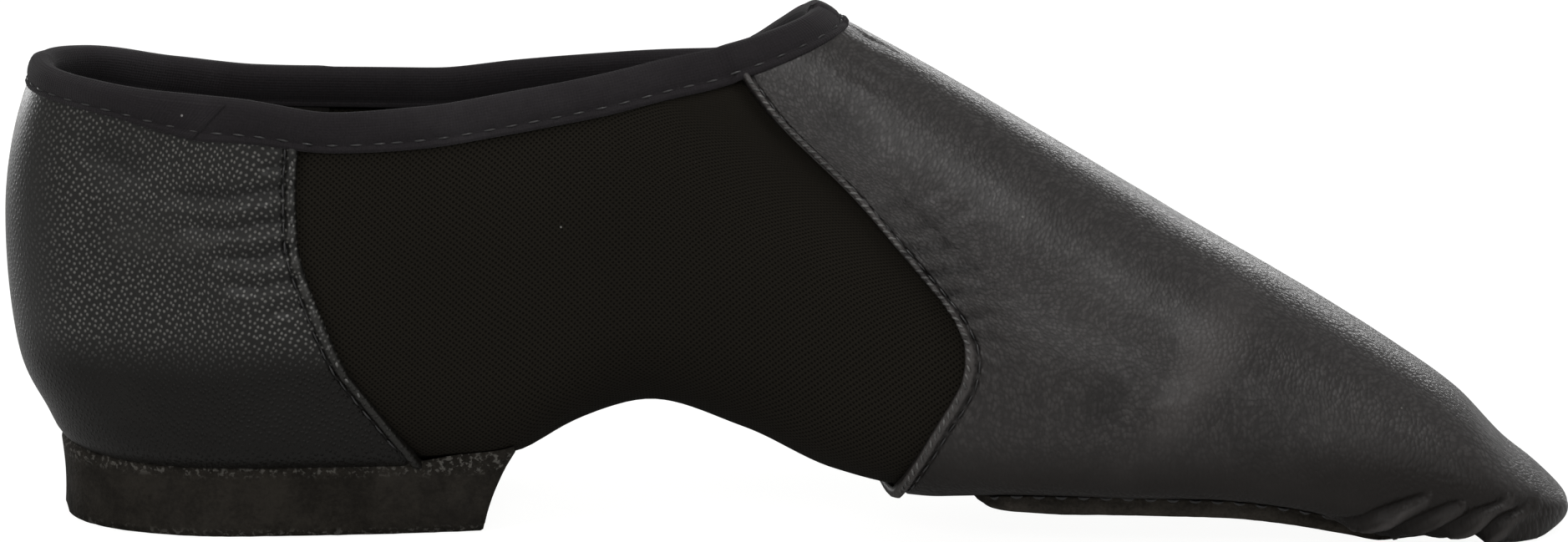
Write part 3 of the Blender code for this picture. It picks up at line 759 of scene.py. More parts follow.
def noise_of(tree, vector, scale, detail=2.0, roughness=0.5, distortion=0.0):
    """Value of a cloudy noise at a place."""
    settings = {
        "Vector": vector, "Scale": scale, "Detail": detail, "Roughness": roughness, "Distortion": distortion}
    return add_node(tree, "TexNoise", settings).outputs[0]


def cells_of(tree, vector, scale, randomness=1.0, dimensions="3D"):
    """Distance from a place to the nearest of many scattered points."""
    settings = {"Vector": vector, "Scale": scale, "Randomness": randomness}
    return add_node(tree, "TexVoronoi", settings, voronoi_dimensions=dimensions).outputs["Distance"]


def effect_group(name, density, outputs, build):
    """A node group, built once, that reads a place and perhaps a density, and gives out values."""
    group = bpy.data.node_groups.get(name)
    if group:
        return group
    group = bpy.data.node_groups.new(name, "ShaderNodeTree")
    group.interface.new_socket(name="Vector", in_out="INPUT", socket_type="NodeSocketVector")
    if density is not None:
        socket = group.interface.new_socket(name="Density", in_out="INPUT", socket_type="NodeSocketFloat")
        socket.default_value = density
    for label in outputs:
        group.interface.new_socket(name=label, in_out="OUTPUT", socket_type="NodeSocketFloat")
    start = group.nodes.new("NodeGroupInput")
    end = group.nodes.new("NodeGroupOutput")
    for label, socket in build(group, start.outputs).items():
        group.links.new(socket, end.inputs[label])
    return group


def dotted_grain():
    """Embossed leather grain of small round pebbles that fade out in places."""

    def build(tree, given):
        bend = noise_of(tree, given["Vector"], 160.0)
        push = add_node(tree, "CombineXYZ", {0: maths(tree, "MULTIPLY", bend, 0.0012)}).outputs[0]
        shifted = add_node(tree, "VectorMath", {0: given["Vector"], 1: push}, operation="ADD").outputs[0]
        slanted = add_node(tree, "VectorRotate", {"Vector": shifted, "Angle": math.radians(33.0)}).outputs[0]
        dots = spread(tree, cells_of(tree, slanted, given["Density"], 0.50, "2D"), 0.08, 0.36, 1.0, 0.0)
        patches = spread(tree, noise_of(tree, given["Vector"], 55.0, 3.0), 0.30, 0.62, 0.50, 1.0)
        tops = maths(tree, "MULTIPLY", dots, patches)
        return {"Height": plus(tree, tops, noise_of(tree, given["Vector"], 3200.0), 0.22), "Tops": tops}

    return effect_group("dotted_grain", 1100.0, ("Height", "Tops"), build)


def flowing_grain():
    """Soft glove leather grain: small upright pebbles with fine creases between them."""

    def build(tree, given):
        drift = noise_of(tree, given["Vector"], 60.0)
        ways = {0: maths(tree, "MULTIPLY", drift, 0.004), 1: maths(tree, "MULTIPLY", drift, 0.003)}
        push = add_node(tree, "CombineXYZ", ways).outputs[0]
        moved = add_node(tree, "VectorMath", {0: given["Vector"], 1: push}, operation="ADD").outputs[0]
        drawn = add_node(tree, "VectorMath", {0: moved, 1: (1.0, 0.66, 1.0)}, operation="MULTIPLY").outputs[0]
        pebbles = spread(tree, cells_of(tree, drawn, given["Density"], 0.95, "2D"), 0.15, 0.70, 1.0, 0.0)
        lines = noise_of(tree, drawn, 700.0, 3.0, 0.55)
        height = plus(tree, maths(tree, "MULTIPLY", pebbles, 0.55), lines, 0.75)
        height = plus(tree, height, noise_of(tree, given["Vector"], 3000.0), 0.16)
        return {"Height": height, "Tops": maths(tree, "MULTIPLY", pebbles, spread(tree, lines, 0.35, 0.65))}

    return effect_group("flowing_grain", 900.0, ("Height", "Tops"), build)


def open_mesh():
    """Stretch mesh: tiny holes on a diagonal lattice."""

    def build(tree, given):
        parts = add_node(tree, "SeparateXYZ", {0: given["Vector"]}).outputs
        across = plus(tree, parts[0], noise_of(tree, given["Vector"], 90.0), 0.0011)
        turn = maths(tree, "MULTIPLY", given["Density"], 2 * math.pi)
        waves = []
        for way in ("ADD", "SUBTRACT"):
            slant = maths(tree, way, across, parts[1])
            waves.append(maths(tree, "COSINE", maths(tree, "MULTIPLY", slant, turn)))
        holes = spread(tree, maths(tree, "ADD", waves[0], waves[1]), 0.35, 1.25)
        fuzz = maths(tree, "MULTIPLY", noise_of(tree, given["Vector"], 2400.0), 0.2)
        return {"Height": maths(tree, "SUBTRACT", fuzz, holes), "Holes": holes}

    return effect_group("open_mesh", 1088.0, ("Height", "Holes"), build)


def fine_ribs():
    """Knitted ribs across a tape, with a slight fuzz."""

    def build(tree, given):
        parts = add_node(tree, "SeparateXYZ", {0: given["Vector"]}).outputs
        along = plus(tree, parts[0], noise_of(tree, given["Vector"], 300.0), 0.0008)
        wave = maths(tree, "SINE", maths(tree, "MULTIPLY", along, given["Density"]))
        across = maths(tree, "SINE", maths(tree, "MULTIPLY", parts[1], given["Density"]))
        fuzz = noise_of(tree, given["Vector"], 1900.0, 4.0, 0.7)
        return {"Height": plus(tree, plus(tree, fuzz, wave, 0.35), across, 0.18), "Shade": fuzz}

    return effect_group("fine_ribs", 14000.0, ("Height", "Shade"), build)


def short_nap():
    """Nap of suede or worn rubber: clouds of light and dark with fine grit."""

    def build(tree, given):
        density = given["Density"]
        clouds = noise_of(tree, given["Vector"], maths(tree, "MULTIPLY", density, 0.12), 3.0, 0.6, 0.4)
        grit = noise_of(tree, given["Vector"], density, 5.0, 0.75)
        specks = cells_of(tree, given["Vector"], maths(tree, "MULTIPLY", density, 0.7))
        shade = maths(tree, "MULTIPLY", maths(tree, "ADD", clouds, grit), 0.5)
        return {"Height": plus(tree, grit, specks, 0.5), "Shade": shade}

    return effect_group("short_nap", 1400.0, ("Height", "Shade"), build)


def handling():
    """Dust and rubbing: soft clouds, a few thin scratches and scattered lint."""

    def build(tree, given):
        clouds = spread(tree, noise_of(tree, given["Vector"], 38.0, 4.0, 0.6), 0.42, 0.78)
        stretch = {0: given["Vector"], 1: (220.0, 900.0, 420.0)}
        strokes = add_node(tree, "VectorMath", stretch, operation="MULTIPLY").outputs[0]
        scratches = spread(tree, noise_of(tree, strokes, 1.0), 0.70, 0.80)
        lint = spread(tree, cells_of(tree, given["Vector"], 95.0), 0.012, 0.022, 1.0, 0.0)
        return {"Clouds": clouds, "Scratches": maths(tree, "MULTIPLY", scratches, clouds), "Lint": lint}

    return effect_group("handling", None, ("Clouds", "Scratches", "Lint"), build)


def use_group(tree, group, **inputs):
    """Place a node group in a material and return its outputs."""
    return add_node(tree, "Group", inputs, node_tree=group).outputs


def new_material(name):
    """An empty node material with its tree, shader, object place and UV place."""
    material = bpy.data.materials.new(name)
    material.use_nodes = True
    tree = material.node_tree
    shader = tree.nodes["Principled BSDF"]
    place = add_node(tree, "TexCoord").outputs["Object"]
    flat = add_node(tree, "UVMap", uv_map="UVMap").outputs[0]
    return material, tree, shader, place, flat


def dress(tree, shader, body, roughness, height, distance, strength):
    """Feed a material's colour, roughness and relief to its shader."""
    tree.links.new(body, shader.inputs["Base Color"])
    tree.links.new(roughness, shader.inputs["Roughness"])
    made = add_node(tree, "Bump", {"Height": height, "Distance": distance, "Strength": strength})
    tree.links.new(made.outputs[0], shader.inputs["Normal"])


def shade_of(colour, factor):
    """A colour made lighter or darker, with full alpha."""
    return tuple(min(part * factor, 1.0) for part in colour[:3]) + (1.0,)


def leather(name, grain, density, colour, roughness, relief_distance, painted_glint_tone, shine, painted_shade_band):
    """Black leather: grain with a painted highlight on its tops, a painted highlight on raised ridges and
    folds, painted shade in troughs and in a band low on the shoe, faint dust and lint.
    """
    material, tree, shader, place, flat = new_material(name)
    skin_grain = use_group(tree, grain, Vector=flat, Density=density)
    worn = use_group(tree, handling(), Vector=place)
    relief = add_node(tree, "Attribute", attribute_name="relief").outputs["Fac"]
    climb = add_node(tree, "Attribute", attribute_name="height").outputs["Fac"]
    parts = add_node(tree, "SeparateXYZ", {0: place}).outputs
    swayed = plus(tree, parts[2], noise_of(tree, place, 45.0), 0.004)
    # painted shade: the leather is painted darker low on the shoe and round its underside
    upper = maths(tree, "MAXIMUM", spread(tree, swayed, *painted_shade_band), spread(tree, climb, 0.05, 0.40))
    lower = maths(tree, "SUBTRACT", 1.0, upper)
    painted_shade_colour = (colour[0] * 0.36, colour[1] * 0.31, colour[2] * 0.26, 1.0)
    # painted shade in the troughs of creases and pleats, where the relief sinks below the skin
    shaded_troughs = spread(tree, relief, -0.10, -0.8)
    tops = maths(tree, "MULTIPLY", skin_grain["Tops"], upper)
    tops = maths(tree, "MULTIPLY", tops, spread(tree, parts[0], *BARE_BACK))
    body = mixed(tree, noise_of(tree, place, 26.0, 3.0), shade_of(colour, 0.82), shade_of(colour, 1.22))
    # painted highlight: the grain tops are painted lighter, as glints
    body = tinted(tree, body, tops, 0.85, shade_of(colour, painted_glint_tone))
    body = tinted(tree, body, shaded_troughs, 0.7, shade_of(colour, 0.3))
    body = tinted(tree, body, lower, 0.75, painted_shade_colour)
    # painted highlight on raised ridges, folded edges and the lips of pleats
    body = tinted(tree, body, spread(tree, relief, 0.15, 0.85), 0.8, shade_of(colour, 2.8))
    body = tinted(tree, body, worn["Clouds"], 0.05, (0.09, 0.085, 0.078, 1.0))
    body = tinted(tree, body, worn["Lint"], 0.30, LINT)
    gloss = plus(tree, roughness, tops, -0.12)
    gloss = plus(tree, gloss, worn["Clouds"], 0.10)
    gloss = plus(tree, gloss, shaded_troughs, 0.15)
    coat = plus(tree, plus(tree, 0.04, upper, 0.10), tops, shine)
    tree.links.new(coat, shader.inputs["Coat Weight"])
    shader.inputs["Coat Roughness"].default_value = 0.32
    shader.inputs["Specular IOR Level"].default_value = 0.13
    dress(tree, shader, body, gloss, skin_grain["Height"], relief_distance, 0.75)
    return material


def mesh_material(colour):
    """Dull stretch mesh, darker in its holes, with a little lint."""
    material, tree, shader, place, flat = new_material("stretch_mesh")
    weave = use_group(tree, open_mesh(), Vector=flat)
    worn = use_group(tree, handling(), Vector=place)
    body = mixed(tree, noise_of(tree, place, 22.0, 3.0), shade_of(colour, 0.75), shade_of(colour, 1.3))
    body = mixed(tree, weave["Holes"], body, shade_of(colour, 0.35))
    body = tinted(tree, body, worn["Lint"], 0.5, LINT)
    gloss = spread(tree, weave["Holes"], 0.0, 1.0, 0.72, 0.95)
    shader.inputs["Specular IOR Level"].default_value = 0.05
    dress(tree, shader, body, gloss, weave["Height"], 0.00012, 0.6)
    return material


def tape_material(name, colour, sheen, distance=0.00014):
    """Knitted cloth with fine ribs, a little fuzz and lint."""
    material, tree, shader, place, flat = new_material(name)
    ribs = use_group(tree, fine_ribs(), Vector=flat)
    worn = use_group(tree, handling(), Vector=place)
    body = mixed(tree, ribs["Shade"], shade_of(colour, 0.55), shade_of(colour, 1.5))
    body = tinted(tree, body, worn["Clouds"], 0.12, (0.10, 0.095, 0.10, 1.0))
    body = tinted(tree, body, worn["Lint"], 0.5, (0.4, 0.39, 0.38, 1.0))
    gloss = spread(tree, ribs["Shade"], 0.2, 0.8, 0.80, 0.95)
    shader.inputs["Specular IOR Level"].default_value = 0.08
    shader.inputs["Sheen Weight"].default_value = sheen
    shader.inputs["Sheen Roughness"].default_value = 0.5
    dress(tree, shader, body, gloss, ribs["Height"], distance, 0.7)
    return material


def nap_material(name, colour, density, roughness, distance, scuff):
    """Suede or worn rubber with grit, clouds, scuffs and pale crumbs along its edges."""
    material, tree, shader, place, _ = new_material(name)
    nap = use_group(tree, short_nap(), Vector=place, Density=density)
    worn = use_group(tree, handling(), Vector=place)
    scuffs_and_painted_glint = maths(tree, "ADD", maths(tree, "MULTIPLY", worn["Clouds"], 0.5), worn["Scratches"])
    up = add_node(tree, "SeparateXYZ", {0: place}).outputs[2]
    edge = maths(tree, "ADD", spread(tree, up, 0.0016, 0.0, 0.0, 1.0), spread(tree, up, 0.0088, 0.0106))
    crumbs = spread(tree, noise_of(tree, place, 1300.0, 3.0, 0.6), 0.52, 0.62)
    body = mixed(tree, spread(tree, nap["Shade"], 0.35, 0.65), shade_of(colour, 0.6), shade_of(colour, 1.45))
    body = tinted(tree, body, scuffs_and_painted_glint, scuff, (0.060, 0.055, 0.050, 1.0))
    body = tinted(tree, body, maths(tree, "MULTIPLY", edge, crumbs), 0.8, (0.10, 0.095, 0.085, 1.0))
    gloss = spread(tree, nap["Shade"], 0.3, 0.7, roughness + 0.06, roughness - 0.06)
    shader.inputs["Specular IOR Level"].default_value = 0.08
    dress(tree, shader, body, gloss, nap["Height"], distance, 0.8)
    return material


def thread_material(name, colour):
    """Twisted sewing thread with a slight gloss, soiled in places."""
    material, tree, shader, place, _ = new_material(name)
    twist = noise_of(tree, place, 2400.0)
    body = mixed(tree, twist, shade_of(colour, 0.6), shade_of(colour, 1.6))
    soiled = spread(tree, noise_of(tree, place, 260.0), 0.42, 0.58, 0.72, 0.0)
    body = mixed(tree, soiled, body, shade_of(colour, 0.25))
    dress(tree, shader, body, spread(tree, twist, 0.3, 0.7, 0.32, 0.5), twist, 0.00008, 0.6)
    return material


def floor_material(colour):
    """Plain floor, bright to the camera, dimmer to the shoe, and see-through from underneath."""
    material, tree, shader, place, _ = new_material("pale_floor")
    cloud = noise_of(tree, place, 1.5)
    seen = add_node(tree, "LightPath").outputs["Is Camera Ray"]
    below = add_node(tree, "NewGeometry").outputs["Backfacing"]
    glow = mixed(tree, cloud, shade_of(colour, 0.985), shade_of(colour, 1.0))
    tree.links.new(mixed(tree, seen, (0.0, 0.0, 0.0, 1.0), glow), shader.inputs["Emission Color"])
    shader.inputs["Emission Strength"].default_value = 1.04
    tree.links.new(maths(tree, "SUBTRACT", 1.0, below), shader.inputs["Alpha"])
    body = mixed(tree, seen, shade_of(colour, 0.75), shade_of(colour, 0.12))
    gloss = spread(tree, cloud, 0.2, 0.8, 0.78, 0.86)
    dress(tree, shader, body, gloss, noise_of(tree, place, 700.0), 0.00005, 0.2)
    return material


def thread_of(colours, scuffs_and_painted_glint=False):
    """The thread that every row of stitches shares, or its kind painted pale as a glint where it wraps an
    edge.
    """
    # the thread over an edge is painted pale, as a highlight
    name = "glint_painted_thread" if scuffs_and_painted_glint else "sewing_thread"
    return bpy.data.materials.get(name) or thread_material(name, colours.scuffs_and_painted_glint if scuffs_and_painted_glint else colours.thread)


def lay_stitches(name, places, length, thick, sink, material):
    """One joined piece of small stitches; each place is (point, direction, normal)."""
    mesh = bmesh.new()
    for point, direction, normal in places:
        across = normal.cross(direction).normalized()
        made = bmesh.ops.create_uvsphere(mesh, u_segments=6, v_segments=6, radius=1.0)["verts"]
        for vertex in made:
            x, y, z = vertex.co
            vertex.co = (point + direction * (z * length / 2) + across * (x * thick / 2)
                         + normal * (y * thick / 2 - z * z * sink))
    return piece_from(mesh, name, None, material)


def row_places(line, side, low, high, pitch, lift, start=0.0, jitter=0.0):
    """Evenly spaced places along a column of the skin, from one height to another."""
    heights = rows_between(low, high, 260)
    points = [skin(line(height), height, side) for height in heights]
    lengths = lengths_along(points)
    places = []
    at = start
    while at < lengths[-1]:
        k, share = find_step(lengths, at)
        height = heights[k] + (heights[k + 1] - heights[k]) * share
        run = line(height)
        normal = outward(run, height, side)
        direction = (points[k + 1] - points[k]).normalized()
        spin = Matrix.Rotation(random.uniform(-jitter, jitter), 3, normal)
        places.append((skin(run, height, side) + SHIFT + normal * lift, spin @ direction, normal))
        at += pitch
    return places


def rim_stations(count):
    """Evenly spaced (run, side) places round the collar, from the throat along the inner side and back."""
    dense = [(THROAT * (1 - (k / 700) ** 2), -1) for k in range(701)]
    dense += [(run, 1) for run, _ in reversed(dense[:-1])]
    points = [rim_point(run, side) for run, side in dense]
    lengths = lengths_along(points)
    total = lengths[-1] + (points[0] - points[-1]).length
    stations = []
    for n in range(count):
        k, share = find_step(lengths, min(total * n / count, lengths[-1] - TINY))
        (run_a, side_a), (run_b, side_b) = dense[k], dense[k + 1]
        run = run_a + (run_b - run_a) * share
        stations.append((run, side_b if share > 0.5 else side_a))
    return stations, total


class RimFrame:
    """A place on the collar's rim, its directions, and the skin's points at distances below it."""

    def __init__(self, stations, k):
        run, side = stations[k]
        before = stations[k - 1]
        after = stations[(k + 1) % len(stations)]
        self.run, self.side = run, side
        self.angle = rim_angle(min(run, THROAT - 1e-5), side)
        self.point, _, _, self.normal = slopes_at(run, self.angle, side)
        ahead = rim_point(*after) - rim_point(*before)
        ahead -= self.normal * ahead.dot(self.normal)
        self.tangent = ahead.normalized()
        self.away = self.tangent.cross(self.normal).normalized()
        below = over(run, self.angle - 0.05, side) - self.point
        if self.away.dot(below) > 0 and run < THROAT * 0.97:
            self.away.negate()
        elif run >= THROAT * 0.97 and self.away.x > 0:
            self.away.negate()
        self.known = {0.0: (self.point, self.normal, run, self.angle)}

    def below(self, distance):
        """Point and normal of the skin at a distance straight down from the rim."""
        if distance in self.known:
            return self.known[distance][:2]
        nearest = max(key for key in self.known if key <= distance)
        _, _, run, angle = self.known[nearest]
        for _ in range(4):
            point, along, up, normal = slopes_at(run, angle, self.side)
            miss = point - self.point
            f = miss.dot(self.tangent)
            g = miss.dot(self.away) + distance
            a, b = along.dot(self.tangent), up.dot(self.tangent)
            c, d = along.dot(self.away), up.dot(self.away)
            det = a * d - b * c
            if abs(det) < 1e-9:
                break
            run -= (f * d - b * g) / det
            angle -= (a * g - c * f) / det
        point, _, _, normal = slopes_at(run, angle, self.side)
        self.known[distance] = (point, normal, run, angle)
        return point, normal

    def rest(self, distance):
        """Lift of what the binding lies on at a distance below the rim, in millimetres."""
        self.below(distance)
        _, _, run, angle = self.known[distance]
        return covered_lift(run, min(angle / (math.pi / 2), 1.0))


# Steps of the binding round the collar, and the run at which its lapped end starts
STATIONS = 340
LAP_START = 0.0296

# Section of the binding in millimetres: drop below the rim, and lift outside what it rests on
TAPE_ROW = 4.15
TAPE_OUTSIDE = (
    (5.25, 0.02), (5.42, 0.26), (5.36, 0.52), (5.00, 0.70), (4.55, 0.62), (4.15, 0.36), (3.75, 0.62),
    (3.20, 0.86), (2.40, 1.02), (1.50, 1.08), (0.70, 1.05), (0.00, 0.92),
)
TAPE_TOP = ((0.55, 0.66), (0.92, 0.30), (1.06, -0.20), (0.98, -0.70), (0.68, -1.20), (0.20, -1.62))
TAPE_INSIDE = (
    (0.40, -1.88), (1.50, -2.02), (2.40, -2.00), (3.20, -1.92), (3.75, -1.76), (4.15, -1.58), (4.55, -1.74),
    (5.00, -1.78), (5.25, -1.50), (5.25, -1.06),
)
TAPE_UNDER = ((4.15, -1.04), (2.40, -1.04), (0.40, -1.04))
TAPE_UNDER_OUT = ((0.40, 0.03), (2.40, 0.03), (4.15, 0.03))

# Height of the tape below the rim on the inner side, as a share of its full height, by run
TAPE_HEIGHT = smooth_curve((
    (0.0, 0.70), (0.010, 0.68), (0.018, 0.74), (0.026, 0.97), (0.031, 1.10), (0.037, 1.06), (0.044, 0.97),
    (0.060, 0.98), (0.075, 1.0)))


def tape_drop(run, side, drop):
    """A drop below the rim, drawn in where the tape is narrower."""
    return drop * (TAPE_HEIGHT(run) if side < 0 else 1.0 - 0.30 * (1 - ease(run, 0.0, 0.02)))


def covered_lift(run, height):
    """Lift of what the binding lies on, in millimetres: leather at the heel and vamp, bare mesh between."""
    heel = 1 - ease(run - counter_seam(height), 0.0, 0.0026)
    front = ease(run - vamp_seam(height), -0.0026, 0.0)
    return 0.10 + 0.95 * max(heel, front)


def build_binding(colours):
    """The stretch binding, folded over the rim, with its overlapped ends near the back."""
    stations, total = rim_stations(STATIONS)
    frames = [RimFrame(stations, k) for k in range(STATIONS)]
    outline = [(d, lift, "out") for d, lift in TAPE_OUTSIDE]
    outline += [(-d, lift, "top") for d, lift in TAPE_TOP]
    outline += [(d, lift, "in") for d, lift in TAPE_INSIDE + TAPE_UNDER]
    outline += [(d, lift, "out") for d, lift in TAPE_UNDER_OUT]
    tall = len(outline)
    tape_lift = smooth_curve(list(reversed(TAPE_OUTSIDE[2:])))

    def place(frame_at, k, drop, lift, kind):
        s = total * k / STATIONS
        sway = noise.noise(Vector((s * 90, 0.0, 7.0)))
        pucker = math.cos(2 * math.pi * s / BINDING_PITCH)
        if kind == "top":
            lifted = lift + (frame_at.rest(0.0) * 0.55 if lift > 0 else 0.0)
            return (frame_at.point + frame_at.away * (-drop + 0.10 * sway) * MM
                    + frame_at.normal * lifted * MM)
        fall = tape_drop(frame_at.run, frame_at.side, drop if drop < 5 else drop + 0.16 * sway)
        point, normal = frame_at.below(fall * MM)
        if kind == "out":
            near_seam = hill(drop, 4.5, 0.8)
            lift = lift + frame_at.rest(fall * MM) + 0.07 * pucker * near_seam + 0.05 * sway
        return point + normal * lift * MM

    mesh = bmesh.new()
    flat = mesh.loops.layers.uv.new("UVMap")
    spots = grid_spots(mesh, STATIONS, tall)
    for vertex, (k, j) in spots.items():
        drop, lift, kind = outline[j % tall]
        vertex.co = place(frames[k % STATIONS], k % STATIONS, drop, lift, kind)
    widths = [0.0]
    for (d0, l0, _), (d1, l1, _) in zip(outline, outline[1:] + outline[:1]):
        widths.append(widths[-1] + math.hypot(d1 - d0, l1 - l0) * MM)
    for face in mesh.faces:
        for loop in face.loops:
            k, j = spots[loop.vert]
            loop[flat].uv = (total * k / STATIONS, widths[j])
    bmesh.ops.remove_doubles(mesh, verts=mesh.verts, dist=2e-6)
    bmesh.ops.recalc_face_normals(mesh, faces=mesh.faces)
    material = tape_material("binding_cloth", colours.binding, 0.05)
    piece_from(mesh, "binding", "collar_binding", material)

    def over_lap(k, j, wide, tall_rows):
        """The end of the tape that laps over its other end, cut on a slant."""
        share = j / tall_rows
        drop = 5.3 - 5.2 * share
        start = lap_from - 0.0045 * share
        s = start + (lap_to - start) * k / wide
        index = s / total * STATIONS
        low = int(index) % STATIONS
        high = (low + 1) % STATIONS
        part = index - int(index)
        first = frames[low].below(tape_drop(frames[low].run, frames[low].side, drop) * MM)
        second = frames[high].below(tape_drop(frames[high].run, frames[high].side, drop) * MM)
        point = first[0].lerp(second[0], part)
        normal = first[1].lerp(second[1], part).normalized()
        rest = frames[low].rest(0.0)
        flare = 0.16 * (1 - ease(k / wide, 0.0, 0.8)) + 0.04 - 0.55 * ease(k / wide, 0.78, 1.0)
        return point + normal * (tape_lift(min(max(drop, 0.0), 5.3)) + rest + flare) * MM

    lap_from = next(total * k / STATIONS for k, (run, side) in enumerate(stations)
                    if side < 0 and run < LAP_START)
    lap_to = lap_from + 0.0125
    mesh = bmesh.new()
    flat = mesh.loops.layers.uv.new("UVMap")
    wide, tall_rows = 26, 14
    for vertex, (k, j) in grid_spots(mesh, wide, tall_rows).items():
        for loop in vertex.link_loops:
            loop[flat].uv = (k * 0.0005, j * 0.00038)
        vertex.co = over_lap(k, j, wide, tall_rows)
    mesh.normal_update()
    middle = list(mesh.faces)[len(mesh.faces) // 2]
    if middle.normal.y > 0:
        bmesh.ops.reverse_faces(mesh, faces=list(mesh.faces))
    piece_from(mesh, "binding_lap", None, material, wall=0.0004)

    places = []
    count = int(total / BINDING_PITCH)
    for n in range(count):
        index = (n + 0.5) * STATIONS / count
        at = frames[int(index) % STATIONS]
        fall = tape_drop(at.run, at.side, TAPE_ROW) * MM
        point, normal = at.below(fall)
        lift = (0.36 + 0.12 + at.rest(fall)) * MM
        places.append((point + normal * lift, at.tangent.copy(), normal))
    lay_stitches("binding_stitches", places, 0.0021, THREAD, 0.00022, thread_of(colours))


def build_mesh_body(colours):
    """The stretch mesh body under the leather, open at the collar and underneath."""
    columns = columns_through([
        (at_run(0.0), 26), (at_run(HEEL_RADIUS), 7), (counter_seam, 46), (vamp_seam, 12),
        (beside(vamp_seam, LIP), 56), (at_run(LAST_LENGTH - NOSE_ROUND), 0)])
    columns += nose_columns(8)

    def heights(side, i):
        return rows_between(-1.0, 0.0, 16)[:-1] + rows_between(0.0, top_height(columns[i], side, 0.0), 40)

    def keep(run, height):
        open_here = run < HEEL_OPENING or FOREFOOT_OPENING[0] < run < FOREFOOT_OPENING[1]
        return not (height < -0.64 and open_here)

    mesh = skin_sheet(columns, heights, keep)

    def lift(run, height, side, point):
        slack = 0.22 * noise.noise(Vector((run * 45, point.z * 45, side * 5.0))) * MM
        seam_tuck = -0.25 * MM * hill(run, vamp_seam(height) - 0.001, 0.0022)
        inside = ease(run, 0.05, 0.06) * (1 - ease(run, 0.115, 0.125)) * ease(height, -0.55, -0.3)
        return 0.0, slack * inside + seam_tuck * inside

    raise_sheet(mesh, lift)
    piece_from(mesh, "mesh_body", "upper", mesh_material(colours.mesh), wall=WALL * 0.9)


def build_vamp(colours):
    """The soft leather over forefoot and toe: folded seam, puckers, broad folds and toe pleats."""
    columns = columns_through([
        (vamp_seam, 12), (beside(vamp_seam, SEAM_BAND), 40), (beside(vamp_seam, LIP), 70),
        (at_run(PLEATS_START), 56), (at_run(LAST_LENGTH - NOSE_ROUND), 0)])
    columns += nose_columns(14)
    tops = tops_below(columns, HIDDEN_EDGE)
    under = rows_between(-1.0, -0.5, 7)[:-1] + rows_between(-0.5, 0.0, 20)[:-1]

    def heights(side, i):
        return under + rows_between(0.0, tops[side, i], 72)

    def keep(run, height):
        return not (height < -0.68 and FOREFOOT_OPENING[0] < run < FOREFOOT_OPENING[1])

    mesh = skin_sheet(columns, heights, keep)
    creases = prepared(VAMP_CREASES)
    marks = rows_between(-1.0, 1.0, 200)
    seam_lengths = {}
    for side in (-1, 1):
        lengths = lengths_along([skin(vamp_seam(mark), mark, side) for mark in marks])
        seam_lengths[side] = smooth_curve(list(zip(marks, lengths)))

    def lift(run, height, side, point):
        ahead = run - vamp_seam(height)
        s = seam_lengths[side](height)
        gather = math.cos(2 * math.pi * s / VAMP_PITCH)
        bared = bare_of_tape(point, ahead)
        relief = folded_edge(ahead, 0.0008 * bared, 0.0021)
        relief += 0.00013 * bared * gather * hill(ahead, 0.0009, 0.0008)
        puckered = hill(point.z, 0.044, 0.017) if height > 0 else 0.25
        pull = 0.5 + 0.5 * noise.noise(Vector((s * 160, side * 3.0, 1.0)))
        relief -= (0.00060 * puckered * pull * max(gather, -0.3) * ease(ahead, 0.0020, 0.0030)
                   * (1 - ease(ahead, 0.0032, 0.0062 + 0.003 * pull)))
        under_toe = ease(run, 0.199, 0.205) * (1 - ease(height, -0.60, -0.44))
        relief += crease_relief(creases, run, point.z, side) * (1 - under_toe)
        ripple = noise.noise(Vector((run * 42, point.z * 30, side * 2.0)))
        fine = noise.noise(Vector((run * 210, point.z * 170, side * 4.0)))
        loose = ease(ahead, 0.004, 0.012) * ease(point.z, 0.004, 0.012)
        relief += (0.09 * ripple + 0.030 * fine) * MM * loose
        over_patch = ease(run, PATCH_START - 0.006, PATCH_START + 0.006) * (1 - ease(run, 0.206, 0.218))
        gathered = ease(run, 0.199, 0.208) * (1 - ease(run, 0.231, LAST_LENGTH))
        bulge = TOE_BULGE * gathered * hill(height, -0.46, 0.13)
        bulge += PATCH_BULGE * over_patch * hill(height, -0.40, 0.085)
        return SHELL + bulge, relief

    raise_sheet(mesh, lift)
    for vertex in mesh.verts:
        run, round_share = vertex[mesh.verts.layers.float["run"]], vertex[mesh.verts.layers.float["height"]]
        sag = TOE_SAG * ease(run, 0.204, 0.217) * (1 - ease(run, 0.230, LAST_LENGTH))
        sag *= ease(-round_share, 0.15, 0.40) * (1 - ease(-round_share, 0.66, 0.85))
        vertex.co.z = max(vertex.co.z - sag, GROUND)
    mesh.normal_update()
    # 2.0 is the tone of the painted highlight on the grain tops; the last pair is the band of painted shade
    # low on the shoe
    material = leather("vamp_leather", flowing_grain(), 1650.0, colours.vamp, 0.42, 0.00019, 2.0,
                       0.10, (0.0128, 0.0222))
    piece_from(mesh, "vamp_leather", "vamp", material, wall=LEATHER * 0.8)
    random.seed(11)
    row = beside(vamp_seam, 0.00228)
    fold = beside(vamp_seam, 0.00085)
    places = []
    wraps = []
    for side in (-1, 1):
        top = top_height(vamp_seam, side, BINDING_DROP + 0.0006)
        places += row_places(row, side, -0.55, top, VAMP_PITCH, SHELL - 0.00016, 0.001, 0.05)
        edge = row_places(fold, side, -0.50, top, VAMP_PITCH / 2, SHELL + 0.00088, 0.0006, 0.10)
        for point, direction, normal in edge:
            slant = (direction * 0.80 + normal.cross(direction) * 0.60).normalized()
            wraps.append((point, slant, normal))
    lay_stitches("vamp_stitches", places, 0.0020, THREAD, 0.00018, thread_of(colours))
    # the wrapped edge stitches take the thread painted pale as a glint
    lay_stitches(
        "vamp_edge_stitches", wraps, 0.00130, THREAD, 0.00014, thread_of(colours, True))


